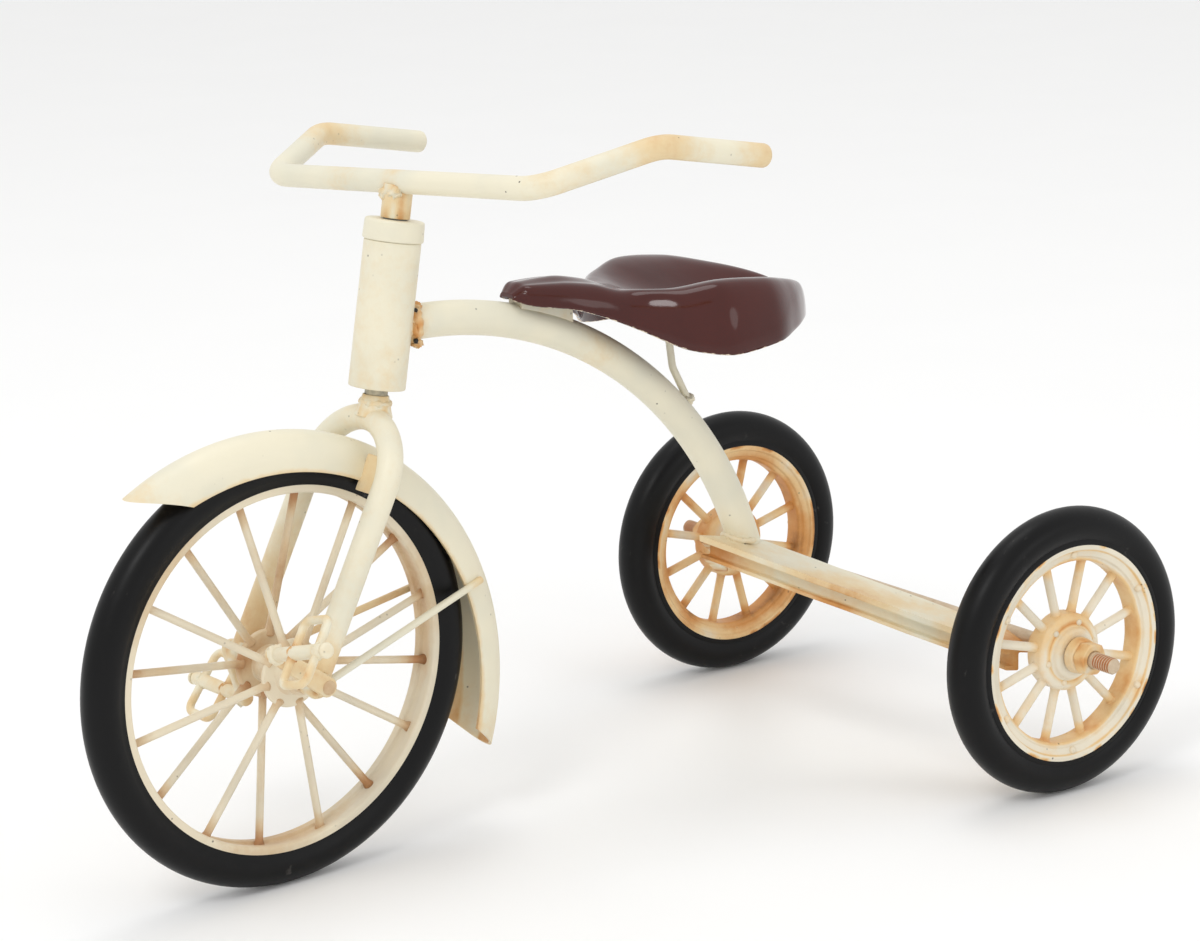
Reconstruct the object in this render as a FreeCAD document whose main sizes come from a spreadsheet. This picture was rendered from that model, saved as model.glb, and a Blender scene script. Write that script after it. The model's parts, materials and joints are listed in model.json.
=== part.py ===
import FreeCAD, Part
import os
import Sketcher
from math import sin, cos, tan, radians, degrees, sqrt, atan2, pi

# Shelf-size metal tricycle: front wheel with cranks, bent fork, arched backbone, V yoke.
# Frame: front of the tricycle looks along -Y, its left side is +X, up is +Z,
# floor at Z = 0, origin under the middle of the bounding box.  Millimetres.

os.makedirs("parts", exist_ok=True)
doc = FreeCAD.newDocument("tricycle")
V3 = FreeCAD.Vector
Rot = FreeCAD.Rotation
Pl = FreeCAD.Placement

# ---------------------------------------------------------------- dimensions
D = {}
sheet = doc.addObject("Spreadsheet::Sheet", "Dims")
ROW = [0]


def dim(alias, value, note=""):
    ROW[0] += 1
    sheet.set("A%d" % ROW[0], alias)
    sheet.set("B%d" % ROW[0], str(value))
    sheet.set("C%d" % ROW[0], note)
    sheet.setAlias("B%d" % ROW[0], alias)
    D[alias] = float(value)


dim("front_centre_aft", -79.80, "front wheel centre along Y, wheel straight ahead")
dim("front_centre_high", 49.996, "front wheel centre above the floor")
dim("wheelbase", 174.80, "front wheel centre to rear axle")
dim("rear_track", 129.5, "between the middle planes of the rear wheels")
dim("steer_rake", 10.0, "steering axis lean, degrees")
dim("steer_rest", 4.04, "bars turned to the left in the built pose, degrees")
dim("head_foot_aft", -51.0, "steering axis at the foot of the head tube")
dim("head_foot_high", 109.0, "foot of the head tube above the floor")
dim("head_rad", 6.4, "head tube outside radius")
dim("head_len", 32.8, "head tube length under the collar")
dim("head_bore", 2.66, "bore for the steerer")
dim("collar_rad", 6.85, "top collar radius")
dim("collar_high", 4.7, "top collar height")
dim("steerer_rad", 2.6, "steerer rod radius")
dim("wheel_offset", -0.7, "front wheel plane to the right of the steering axis")
dim("steerer_under", 5.6, "steerer below the foot of the head tube")
dim("steerer_over", 45.82, "steerer above the foot of the head tube")
dim("stem_rad", 3.3, "stem sleeve radius")
dim("head_gap", 0.28, "end play at both ends of the head tube")
dim("bar_rad", 2.65, "handlebar tube radius")
dim("bar_half", 48.55, "half width of the straight centre")
dim("bar_reach", 62.46, "middle plane to each grip")
dim("bar_shoulder_aft", 23.25, "start of the grips behind the crossbar")
dim("bar_shoulder_up", 6.67, "start of the grips above the crossbar")
dim("bar_end_aft", 52.73, "grip ends behind the crossbar")
dim("bar_end_up", 1.03, "grip ends above the crossbar")
dim("bar_bend", 9.0, "bend radius of the handlebar")
dim("bar_tilt", 5.23, "left end of the bar stands higher, degrees")
dim("fork_rad", 2.9, "fork tube radius")
dim("fork_half", 14.2, "middle plane to blade centre, also arch radius")
dim("fork_lean_aft", 26.74, "crown behind the wheel centre")
dim("fork_lean_high", 52.37, "crown above the wheel centre")
dim("end_rad", 3.5, "fork end boss radius")
dim("end_half", 2.2, "fork end boss half length")
dim("end_bore", 1.96, "fork end bore radius")
dim("crank_rad", 1.9, "crank axle radius")
dim("crank_in", 17.5, "inner face of the crank arm")
dim("crank_thick", 2.0, "crank arm thickness")
dim("crank_width", 3.6, "crank arm width")
dim("throw_left", 17.0, "left crank throw")
dim("throw_right", 12.7, "right crank throw")
dim("crank_left_at", 142.5, "left crank, degrees from +Y towards +Z")
dim("crank_right_at", -76.0, "right crank, degrees from +Y towards +Z")
dim("pin_rad", 1.0, "pedal pin radius")
dim("pin_len", 19.6, "pedal pin length out of the arm")
dim("pin_tilt", 16.0, "left pin bent upwards, degrees")
dim("spindle_rad", 1.6, "pedal tube radius")
dim("spindle_bore", 1.06, "pedal tube bore radius")
dim("spindle_len", 18.3, "pedal tube length")
dim("pedal_wire", 0.95, "pedal loop wire radius")
dim("pedal_half", 7.6, "loop middle to its far run")
dim("pedal_in", 7.1, "arm face to the inner run of the loop")
dim("pedal_out", 16.4, "arm face to the outer run of the loop")
dim("pedal_lean", 36.0, "loop leans back from upright, degrees")
dim("front_tyre_mid", 45.4, "front tyre ring radius")
dim("front_tyre_sec", 4.6, "front tyre section radius")
dim("front_rim_out", 41.6, "front rim seat radius")
dim("front_rim_in", 40.0, "front rim inside radius")
dim("front_rim_half", 3.6, "front rim half width")
dim("front_hub_half", 11.6, "front hub half length")
dim("front_hub_rad", 4.2, "front hub barrel radius")
dim("front_flange_rad", 7.8, "spoke flange radius")
dim("front_flange_at", 4.9, "spoke flange middle from the middle plane")
dim("front_spoke_rad", 0.92, "front spoke radius")
dim("front_phase", 13.0, "first left spoke, degrees")
dim("rear_tyre_mid", 29.8, "rear tyre ring radius")
dim("rear_tyre_sec", 4.7, "rear tyre section radius")
dim("rear_rim_out", 25.8, "rear rim seat radius")
dim("rear_rim_in", 21.9, "rear rim inside radius")
dim("rear_rim_half", 4.2, "rear rim half width")
dim("rear_hub_rad", 9.3, "rear hub flange radius")
dim("rear_spoke_rad", 1.15, "rear spoke radius")
dim("rear_hub_in", -5.4, "inner end of the rear hub from the wheel plane")
dim("rear_hub_out", 4.6, "outer end of the rear hub from the wheel plane")
dim("rivet_rad", 0.95, "rim rivet head radius")
dim("rivet_ring", 23.9, "rim rivet pitch radius")
dim("axle_rad", 2.0, "rear axle radius, M4")
dim("axle_half", 82.3, "rear axle half length")
dim("axle_play", 2.06, "rear hub bore radius")
dim("nut_across", 7.0, "axle nut across flats")
dim("nut_high", 3.2, "axle nut height")
dim("washer_rad", 4.4, "outer spacer radius")
dim("washer_high", 2.6, "outer spacer height")
dim("spine_rad", 4.0, "backbone tube radius")
dim("spine_bend", 94.4, "backbone bend radius")
dim("spine_centre_aft", -39.6, "backbone bend centre along Y")
dim("spine_centre_high", 27.9, "backbone bend centre height")
dim("spine_from", 17.6, "backbone lower end, degrees")
dim("spine_to", 94.0, "backbone upper end, degrees")
dim("yoke_aft", 45.8, "yoke crest along Y on the middle plane")
dim("yoke_high", 57.6, "yoke crest top height")
dim("yoke_plan", 39.5, "arm swept back from the cross line, degrees")
dim("yoke_drop", 0.425, "fall of the arm for each step outwards")
dim("yoke_wide", 13.0, "step plate width")
dim("yoke_plate", 1.2, "step plate thickness")
dim("yoke_deep", 5.4, "arm depth")
dim("yoke_reach", 56.4, "arm end from the middle plane")
dim("fender_ring", 64.65, "fender crown radius")
dim("fender_aft", -4.2, "fender centre from the wheel centre, along Y")
dim("fender_up", -10.61, "fender centre from the wheel centre, height")
dim("fender_half", 5.7, "fender half width")
dim("fender_deep", 8.44, "fender section depth")
dim("fender_skin", 0.7, "fender sheet thickness")
dim("fender_front", 121.0, "front tip of the fender, degrees from +Y towards +Z")
dim("fender_back", -18.5, "rear end of the fender, degrees")
dim("tab_thick", 1.2, "fender tab thickness")
dim("tab_tall", 8.5, "fender tab height")
dim("stay_rad", 0.85, "fender stay radius")
dim("strut_rad", 0.9, "seat strut radius")
dim("seat_skin", 1.6, "seat thickness")
doc.recompute()

RAKE = radians(D["steer_rake"])
AXIS = V3(0, sin(RAKE), cos(RAKE))
FOOT = V3(0, D["head_foot_aft"], D["head_foot_high"])
TURN = Rot(AXIS, D["steer_rest"])
STEER = Pl(FOOT - TURN.multVec(FOOT), TURN)
CENTRE = V3(D["wheel_offset"], D["front_centre_aft"], D["front_centre_high"])
NODES = []


def bind(obj, prop, expr):
    """Tie a property to the sheet; words that are aliases get the sheet name."""
    out, word = "", ""
    for ch in expr + " ":
        if ch.isalpha() or ch == "_":
            word += ch
            continue
        out += ("Dims." + word) if word in D else word
        word = ""
        out += ch
    obj.setExpression(prop, out.strip())


def along(point, direction, base=None):
    """Placement that carries local +Z onto a direction through a point."""
    p = Pl(V3(*point), Rot(V3(0, 0, 1), V3(*direction)))
    return base.multiply(p) if base else p


def along_x(point, direction, base=None):
    p = Pl(V3(*point), Rot(V3(1, 0, 0), V3(*direction)))
    return base.multiply(p) if base else p


def cyl(label, rad, high, place):
    o = doc.addObject("Part::Cylinder", label)
    bind(o, "Radius", rad)
    bind(o, "Height", high)
    o.Placement = place
    return o


def box(label, sx, sy, sz, place):
    o = doc.addObject("Part::Box", label)
    for prop, e in (("Length", sx), ("Width", sy), ("Height", sz)):
        bind(o, prop, e)
    o.Placement = place
    return o


def cut(label, base, *tools):
    o = doc.addObject("Part::Cut", label)
    o.Base = base
    if len(tools) > 1:
        m = doc.addObject("Part::MultiFuse", label + "_tools")
        m.Shapes = list(tools)
        o.Tool = m
    else:
        o.Tool = tools[0]
    return o


def fuse(label, *parts):
    o = doc.addObject("Part::MultiFuse", label)
    o.Shapes = list(parts)
    return o


def common(label, a, b):
    o = doc.addObject("Part::Common", label)
    o.Base, o.Tool = a, b
    return o


def node(name, obj):
    NODES.append((name, obj))
    return obj


def turned(label, profile, place):
    """PartDesign revolve about local X; profile holds (along, radius) expressions
    as pairs of (number, sheet text)."""
    body = doc.addObject("PartDesign::Body", label)
    sk = body.newObject("Sketcher::SketchObject", label + "_sketch")
    sk.AttachmentSupport = [(body.Origin.OriginFeatures[3], "")]
    sk.MapMode = "FlatFace"
    n = len(profile)
    pts = [V3(a[0], r[0], 0) for a, r in profile]
    for i in range(n):
        sk.addGeometry(Part.LineSegment(pts[i], pts[(i + 1) % n]), False)
    for i in range(n):
        sk.addConstraint(Sketcher.Constraint("Coincident", i, 2, (i + 1) % n, 1))
    for i, (a, r) in enumerate(profile):
        k = sk.addConstraint(Sketcher.Constraint("DistanceX", -1, 1, i, 1, a[0]))
        if a[1]:
            bind(sk, "Constraints[%d]" % k, a[1])
        k = sk.addConstraint(Sketcher.Constraint("DistanceY", -1, 1, i, 1, r[0]))
        if r[1]:
            bind(sk, "Constraints[%d]" % k, r[1])
    rev = body.newObject("PartDesign::Revolution", label + "_turn")
    rev.Profile = sk
    rev.ReferenceAxis = (sk, ["H_Axis"])
    rev.Angle = 360.0
    body.Tip = rev
    body.Placement = place
    return body


def q(alias, shift=0.0, sign=1):
    """One profile number with the sheet text that drives it."""
    val = sign * D[alias] + shift
    txt = ("-" if sign < 0 else "") + alias
    if shift:
        txt += (" + %g" if shift > 0 else " - %g") % abs(shift)
    return (val, txt)


def c(val):
    return (float(val), "")


def both(mid, half, sign, shift, rad, rad_shift=0.0):
    """Profile corner at mid +/- half (+ shift) along the axis, with a radius from the sheet."""
    val = D[mid] + sign * D[half] + shift
    txt = mid + (" + " if sign > 0 else " - ") + half
    if shift:
        txt += (" + %g" if shift > 0 else " - %g") % abs(shift)
    return ((val, txt), q(rad, rad_shift))


def rod_between(label, a, b, rad, base=None):
    """Straight rod between two points, radius from the sheet."""
    a, b = V3(*a), V3(*b)
    d = b - a
    o = doc.addObject("Part::Cylinder", label)
    bind(o, "Radius", rad)
    o.Height = d.Length
    o.Placement = along(tuple(a), tuple(d), base)
    return o


def swept(label, points, bend, rad, base=None, closed=False):
    """Round wire or tube through corner points with equal bends."""
    pts = [V3(*p) for p in points]
    edges = []
    n = len(pts)
    idx = range(n) if closed else range(1, n - 1)
    corners = {}
    for i in idx:
        p0, p1, p2 = pts[i - 1], pts[i], pts[(i + 1) % n]
        u, w = (p0 - p1).normalize(), (p2 - p1).normalize()
        half = u.getAngle(w) / 2.0
        t = bend / tan(half)
        ctr = p1 + (u + w).normalize() * (bend / sin(half))
        mid = ctr + (p1 - ctr).normalize() * bend
        corners[i] = (p1 + u * t, mid, p1 + w * t)
    if closed:
        for i in range(n):
            a = corners[i]
            edges.append(Part.Arc(*a).toShape())
            nxt = corners[(i + 1) % n][0]
            if (nxt - a[2]).Length > 1e-6:
                edges.append(Part.LineSegment(a[2], nxt).toShape())
        start, tangent = corners[0][2], (corners[1 % n][0] - corners[0][2])
        if tangent.Length < 1e-6:
            tangent = pts[1] - pts[0]
        edges = edges[1:] + edges[:1]
    else:
        cur = pts[0]
        for i in idx:
            a = corners[i]
            edges.append(Part.LineSegment(cur, a[0]).toShape())
            edges.append(Part.Arc(*a).toShape())
            cur = a[2]
        edges.append(Part.LineSegment(cur, pts[-1]).toShape())
        start, tangent = pts[0], pts[1] - pts[0]
    spine = doc.addObject("Part::Feature", label + "_spine")
    spine.Shape = Part.Wire(edges)
    ring = doc.addObject("Part::Circle", label + "_ring")
    bind(ring, "Radius", rad)
    ring.Placement = along(tuple(start), tuple(tangent))
    o = doc.addObject("Part::Sweep", label)
    o.Sections = [ring]
    o.Spine = (spine, ["Edge%d" % (k + 1) for k in range(len(edges))])
    o.Solid = True
    o.Frenet = False
    if base:
        o.Placement = base
    return o


def W(u, y, z):
    """Point in the straight-ahead front wheel frame."""
    return (CENTRE.x + u, CENTRE.y + y, CENTRE.z + z)


# ------------------------------------------------------------------- the frame
head_pl = along_x(tuple(FOOT), tuple(AXIS))
ht = turned("head_tube", [
    (c(0), q("head_bore")), (q("head_len"), q("head_bore")), (q("head_len"), q("head_rad")),
    (c(0.25), q("head_rad")), (c(0), q("head_rad", -0.25))], head_pl)
node("head_tube", ht)
hl, ch = D["head_len"], D["collar_high"]
node("head_collar", turned("head_collar", [
    ((hl, "head_len"), q("head_bore")), ((hl + ch, "head_len + collar_high"), q("head_bore")),
    ((hl + ch, "head_len + collar_high"), q("collar_rad", -0.5)),
    ((hl + ch - 0.5, "head_len + collar_high - 0.5"), q("collar_rad")),
    ((hl + 0.01, "head_len"), q("collar_rad")), ], head_pl))

# backbone: one bent tube, cut where it meets the head tube and the yoke
ring = doc.addObject("Part::Circle", "spine_ring")
bind(ring, "Radius", "spine_rad")
sc = V3(0, D["spine_centre_aft"], D["spine_centre_high"])


def on_spine(deg):
    a = radians(deg)
    return sc + V3(0, cos(a), sin(a)) * D["spine_bend"]


s0, s1 = D["spine_from"], D["spine_to"]
ring.Placement = along(tuple(on_spine(s0)), (0, -sin(radians(s0)), cos(radians(s0))))
arc = doc.addObject("Part::Feature", "spine_path")
arc.Shape = Part.Wire([Part.Arc(on_spine(s0), on_spine((s0 + s1) / 2), on_spine(s1)).toShape()])
raw = doc.addObject("Part::Sweep", "spine_raw")
raw.Sections, raw.Spine, raw.Solid, raw.Frenet = [ring], (arc, ["Edge1"]), True, False
head_tool = cyl("spine_head_tool", "head_rad", "head_len + 20",
                along(tuple(FOOT - AXIS * 10), tuple(AXIS)))

# yoke arms: a wide step plate with a set-back web and a lip under it
PHI = radians(D["yoke_plan"])
THETA = atan2(D["yoke_drop"] * cos(PHI), 1.0)


def yoke_profile(side):
    w, t, h = D["yoke_wide"] / 2, D["yoke_plate"], D["yoke_deep"]
    flat = [(-w, 0), (w, 0), (w, -t), (-w + 3.6, -t), (-w + 3.6, -h), (-w + 0.3, -h),
            (-w + 0.3, -h + 1.0), (-w + 2.4, -h + 1.0), (-w + 2.4, -t - 0.4), (-w, -t - 0.4)]
    dvec = V3(side * cos(PHI) * cos(THETA), sin(PHI) * cos(THETA), -sin(THETA))
    pvec = V3(-side * sin(PHI), cos(PHI), 0)
    qvec = dvec.cross(pvec)
    if qvec.z < 0:
        qvec = qvec * -1
    top = V3(0, D["yoke_aft"], D["yoke_high"]) - dvec * 30
    pts = [top + pvec * a + qvec * b for a, b in flat]
    return pts, dvec


def yoke_arm(name, side):
    pts, dvec = yoke_profile(side)
    wire = doc.addObject("Part::Feature", name + "_section")
    wire.Shape = Part.Face(Part.makePolygon(pts + [pts[0]]))
    ext = doc.addObject("Part::Extrusion", name + "_run")
    ext.Base = wire
    ext.DirMode = "Custom"
    ext.Dir = dvec
    bind(ext, "LengthFwd", "yoke_reach + 80")
    ext.Solid = True
    keep = doc.addObject("Part::Box", name + "_keep")
    bind(keep, "Length", "yoke_reach")
    keep.Width, keep.Height = 300, 200
    keep.Placement = Pl(V3(0 if side > 0 else -D["yoke_reach"], -100, -20), Rot())
    trimmed = common(name + "_trim", ext, keep)
    bore = cyl(name + "_bore", "axle_rad", "yoke_reach",
               along((0 if side > 0 else -D["yoke_reach"], REAR_Y, REAR_Z), (1, 0, 0)))
    return cut(name, trimmed, bore)


REAR_Y = D["front_centre_aft"] + D["wheelbase"]
REAR_Z = D["rear_tyre_mid"] + D["rear_tyre_sec"]
arm_l, arm_r = yoke_arm("yoke_arm_left", 1), yoke_arm("yoke_arm_right", -1)
node("yoke_arm_left", arm_l)
node("yoke_arm_right", arm_r)

# the foot of the backbone follows the two sloping step plates
roof = doc.addObject("Part::Feature", "yoke_roof")
yh, half = D["yoke_high"], 30.0
# top plates fall both outwards and, across the arm, stay level along its normal
gx = D["yoke_drop"] / (1 + tan(PHI) ** 2)
gy = gx * tan(PHI)
solids = []
for side in (1, -1):
    p = []
    for x in (0, half * side):
        for y in (-40, 140):
            p.append((x, y))
    def top(x, y):
        return V3(x, y, yh - gx * abs(x) - gy * (y - D["yoke_aft"]))
    lo = [V3(x, y, -60) for x, y in p]
    hi = [top(x, y) for x, y in p]
    faces = []
    for level in (lo, hi):
        faces.append(Part.Face(Part.makePolygon([level[i] for i in (0, 1, 3, 2, 0)])))
    for i, j in ((0, 1), (1, 3), (3, 2), (2, 0)):
        faces.append(Part.Face(Part.makePolygon([lo[i], lo[j], hi[j], hi[i], lo[i]])))
    sld = Part.Solid(Part.Shell(faces))
    if sld.Volume < 0:
        sld.reverse()
    solids.append(sld)
roof.Shape = solids[0].fuse(solids[1])
node("backbone_tube", cut("backbone_tube", raw, head_tool, roof))

# weld fillet behind the head tube: a short conical collar round the tube end
weld_at = on_spine(91.4)
wc = doc.addObject("Part::Cone", "backbone_weld_cone")
wc.Radius1, wc.Radius2, wc.Height = 5.3, D["spine_rad"], 3.4
wc.Placement = along((0, FOOT.y + 14.0 * sin(RAKE) + 5.4, weld_at.z + 0.25), (0, 1, -0.03))
node("backbone_weld", cut("backbone_weld", wc, raw, head_tool))

# rear axle: plain in the middle, ridged like a screw thread at both ends
prof = [(q("axle_half", 0, -1), c(0)), (q("axle_half", 0, -1), c(1.6))]
for s in (-1, 1):
    ridges = []
    for k in range(8):
        a = D["axle_half"] - 0.35 - 0.8 * k
        ridges.append(((s * a, ("-" if s < 0 else "") + "(axle_half - %g)" % (0.35 + 0.8 * k)),
                       q("axle_rad")))
        ridges.append(((s * (a - 0.4), ("-" if s < 0 else "") + "(axle_half - %g)" % (0.75 + 0.8 * k)),
                       q("axle_rad", -0.32)))
    ridges.append(((s * (D["axle_half"] - 6.75), ("-" if s < 0 else "") + "(axle_half - 6.75)"),
                   q("axle_rad")))
    prof += ridges if s < 0 else ridges[::-1]
prof += [(q("axle_half"), c(1.6)), (q("axle_half"), c(0))]
node("rear_axle", turned("rear_axle", prof, Pl(V3(0, REAR_Y, REAR_Z), Rot())))

half_track = D["rear_track"] / 2
for side, word in ((1, "left"), (-1, "right")):
    hub_out = half_track + D["rear_hub_out"]
    hub_in = half_track + D["rear_hub_in"]
    sp = along_x((0, REAR_Y, REAR_Z), (side, 0, 0))
    # inner spacer between the arm end and the hub
    a0, a1 = D["yoke_reach"], hub_in - 0.3
    node("axle_spacer_inner_" + word, turned("axle_spacer_inner_" + word, [
        (c(a0), q("axle_rad")), (c(a1), q("axle_rad")), (c(a1), c(3.6)), (c(a0), c(3.6))], sp))
    b0 = hub_out + 0.3
    b1 = b0 + D["washer_high"]
    node("axle_spacer_outer_" + word, turned("axle_spacer_outer_" + word, [
        (c(b0), q("axle_rad")), (c(b1), q("axle_rad")), (c(b1), q("washer_rad", -0.4)),
        (c(b1 - 0.4), q("washer_rad")), (c(b0), q("washer_rad"))], sp))
    # hexagon nut: prism cut by chamfer cones and by the bore
    prism = doc.addObject("Part::Prism", "axle_nut_prism_" + word)
    prism.Polygon = 6
    bind(prism, "Circumradius", "nut_across / 1.7320508")
    bind(prism, "Height", "nut_high")
    n0 = b1 + 0.0
    npl = along((side * n0, REAR_Y, REAR_Z), (side, 0, 0))
    prism.Placement = npl
    cone = doc.addObject("Part::Cone", "axle_nut_cone_" + word)
    cone.Radius1, cone.Radius2, cone.Height = D["nut_across"] / 2 + 2.9, D["nut_across"] / 2 - 0.1, \
        D["nut_high"] * 1.0
    cone.Placement = npl
    nb = cyl("axle_nut_bore_" + word, "axle_rad", "nut_high + 2",
             along((side * (n0 - 1), REAR_Y, REAR_Z), (side, 0, 0)))
    node("axle_nut_" + word, cut("axle_nut_" + word,
                                 common("axle_nut_round_" + word, prism, cone), nb))

# ------------------------------------------------------------------ the seat
SEAT = [  # along Y, half width, height on the middle, ridge at this share, ridge height, edge height
    (-15.6, 3.0, 125.5, 0.50, 125.4, 124.0), (-12.5, 6.0, 127.6, 0.50, 127.3, 122.8),
    (-4.0, 8.8, 127.8, 0.50, 127.0, 121.3), (4.0, 10.6, 126.4, 0.52, 125.8, 118.6),
    (12.0, 14.0, 123.6, 0.57, 123.6, 114.8), (20.0, 22.5, 120.2, 0.67, 123.8, 110.3),
    (30.0, 27.0, 117.2, 0.72, 125.2, 108.7), (42.0, 25.8, 115.6, 0.755, 124.2, 109.5),
    (52.0, 20.0, 115.2, 0.75, 122.0, 110.6), (60.0, 13.0, 115.4, 0.73, 119.6, 111.0),
    (65.0, 7.0, 114.8, 0.71, 117.0, 111.0), (68.0, 2.5, 113.0, 0.70, 113.0, 111.3)]


def steady(keys, y, col):
    """Smooth run through one column of a table that never swings past its neighbours."""
    n = len(keys)
    step = [(keys[i + 1][col] - keys[i][col]) / (keys[i + 1][0] - keys[i][0]) for i in range(n - 1)]
    slope = [step[0]] + [0.0 if step[i - 1] * step[i] <= 0 else
                         2 * step[i - 1] * step[i] / (step[i - 1] + step[i])
                         for i in range(1, n - 1)] + [step[-1]]
    i = max(k for k in range(n - 1) if keys[k][0] <= y + 1e-9)
    h = keys[i + 1][0] - keys[i][0]
    t = (y - keys[i][0]) / h
    return (keys[i][col] * (1 + 2 * t) * (1 - t) ** 2 + slope[i] * h * t * (1 - t) ** 2
            + keys[i + 1][col] * t * t * (3 - 2 * t) + slope[i + 1] * h * t * t * (t - 1))


sections = []
stations = []
for k in range(len(SEAT) - 1):
    stations += [SEAT[k][0], (SEAT[k][0] + SEAT[k + 1][0]) / 2]
stations.append(SEAT[-1][0])
for k, y in enumerate(stations):
    hw, crown, share, ridge, edge = [steady(SEAT, y, col) for col in range(1, 6)]
    skin = min(D["seat_skin"], 0.35 * hw)
    up, dn = [], []
    for i in range(-9, 10):
        x = hw * sin(i / 9.0 * pi / 2)
        g = min(1.0, abs(x) / hw)
        lift = sin(min(g / share, 1.0) * pi / 2) ** 2
        t = max(0.0, (g - share) / (1 - share))
        z = crown + (ridge - crown) * lift - (ridge - edge) * (1 - sqrt(max(0.0, 1 - t * t)))
        up.append(V3(x, y, z))
    for p in reversed(up):
        g = abs(p.x) / hw
        dn.append(V3(p.x * (1 - skin / hw * g ** 2 * 0.9), y, p.z - skin * (1 - g ** 6)))
    crv = Part.BSplineCurve()
    crv.interpolate(Points=up)
    crv2 = Part.BSplineCurve()
    crv2.interpolate(Points=dn)
    w = Part.Wire([crv.toShape(), Part.LineSegment(up[-1], dn[0]).toShape(),
                   crv2.toShape(), Part.LineSegment(dn[-1], up[0]).toShape()])
    s = doc.addObject("Part::Feature", "seat_section_%d" % k)
    s.Shape = w
    sections.append(s)
seat = doc.addObject("Part::Loft", "seat_loft")
seat.Sections, seat.Solid, seat.Ruled = sections, True, False
node("seat_pan", seat)

# tab that carries the nose of the seat on the backbone
tab_box = doc.addObject("Part::Box", "seat_tab_block")
tab_box.Length, tab_box.Width, tab_box.Height = 5.2, 14.0, 11.0
tab_box.Placement = Pl(V3(-2.6, -13.4, 117.0), Rot())
above = doc.addObject("Part::Feature", "seat_above")
doc.recompute()
seat_low = []
for y in (-14.0, -12.5, -9.0, -4.0, 2.0, 8.0):
    ln = Part.makeLine(V3(0, y, 60), V3(0, y, 160))
    hit = seat.Shape.common(ln)
    seat_low.append(V3(0, y, min([v.Z for v in hit.Vertexes])))
# the pan curves down at the sides, so the flat top of the tab stays a little under it
poly = [V3(-20, p.y, p.z - 0.5) for p in seat_low]
poly = [V3(-20, -14.0, 160)] + poly + [V3(-20, 8.0, 160)]
above.Shape = Part.Face(Part.makePolygon(poly + [poly[0]])).extrude(V3(40, 0, 0))
below = doc.addObject("Part::Box", "seat_tab_under")
below.Length, below.Width, below.Height = 40, 60, 117
below.Placement = Pl(V3(-20, -40, 0), Rot())
node("seat_tab", cut("seat_tab", tab_box, raw, above, below))

# wire strut under the seat
strut = swept("seat_strut_wire", [(0, 28.4, 120.0), (0, 30.4, 101.5), (0, 36.5, 90.0)],
              5.0, "strut_rad")
seat_up = doc.addObject("Part::Feature", "strut_seat_tool")
ln = Part.makeLine(V3(0, 28.6, 60), V3(0, 28.6, 160))
hit = seat.Shape.common(ln)
zseat = min([v.Z for v in hit.Vertexes])
seat_up.Shape = Part.makeBox(20, 20, 40, V3(-10, 18, zseat + 0.25))
node("seat_strut", cut("seat_strut", strut, raw, seat_up, seat))

# ------------------------------------------------------------- steering group
bar_c = FOOT + AXIS * D["steerer_over"]
tilt = Rot(V3(0, 1, 0), -D["bar_tilt"])


def bar_pt(x, dy, dz):
    return tuple(bar_c + tilt.multVec(V3(x, dy, dz)))


steerer_raw = turned("steerer_raw", [
    (q("steerer_under", 0, -1), c(0)), (q("steerer_under", 0, -1), q("steerer_rad")),
    (q("steerer_over"), q("steerer_rad")),
    (q("steerer_over"), c(0))], head_pl)
bar_tool = rod_between("bar_tool", bar_pt(30, 0, 0), bar_pt(-30, 0, 0), "bar_rad")
steerer = cut("steerer_cut", steerer_raw, bar_tool)
steerer.Placement = STEER
node("steerer", steerer)

# fork: one tube bent to an arch and two blades, in a plane that leans back
LEAN = V3(0, D["fork_lean_aft"], D["fork_lean_high"])
LEN = LEAN.Length
LDIR = V3(0, LEAN.y / LEN, LEAN.z / LEN)
fh = D["fork_half"]


def on_fork(u, s):
    return CENTRE + V3(u, 0, 0) + LDIR * s


path = [Part.LineSegment(on_fork(fh, 0.0), on_fork(fh, LEN - fh)).toShape(),
        Part.Arc(on_fork(fh, LEN - fh), on_fork(0, LEN), on_fork(-fh, LEN - fh)).toShape(),
        Part.LineSegment(on_fork(-fh, LEN - fh), on_fork(-fh, 0.0)).toShape()]
fsp = doc.addObject("Part::Feature", "fork_path")
fsp.Shape = Part.Wire(path)
frg = doc.addObject("Part::Circle", "fork_ring")
bind(frg, "Radius", "fork_rad")
frg.Placement = along(tuple(on_fork(fh, 0)), tuple(LDIR))
fsw = doc.addObject("Part::Sweep", "fork_raw")
fsw.Sections, fsw.Spine, fsw.Solid = [frg], (fsp, ["Edge1", "Edge2", "Edge3"]), True
ends_tool = cyl("fork_end_tool", "end_rad", "2 * fork_half + 12",
                along(W(-(fh + 6), 0, 0), (1, 0, 0)))
st_tool = cyl("fork_steerer_tool", "steerer_rad", "20",
              along(tuple(FOOT - AXIS * D["steerer_under"]), tuple(AXIS)))
fork = cut("fork_tube_cut", fsw, ends_tool, st_tool)
fork.Placement = STEER
node("fork_tube", fork)
for side, word in ((1, "left"), (-1, "right")):
    pl = STEER.multiply(along_x(W(0, 0, 0), (side, 0, 0)))
    node("fork_end_" + word, turned("fork_end_" + word, [
        both("fork_half", "end_half", -1, 0, "end_bore"), both("fork_half", "end_half", 1, 0, "end_bore"),
        both("fork_half", "end_half", 1, 0, "end_rad", -0.5), both("fork_half", "end_half", 1, -0.5, "end_rad"),
        both("fork_half", "end_half", -1, 0.5, "end_rad"), both("fork_half", "end_half", -1, 0, "end_rad", -0.5)],
        pl))

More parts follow.
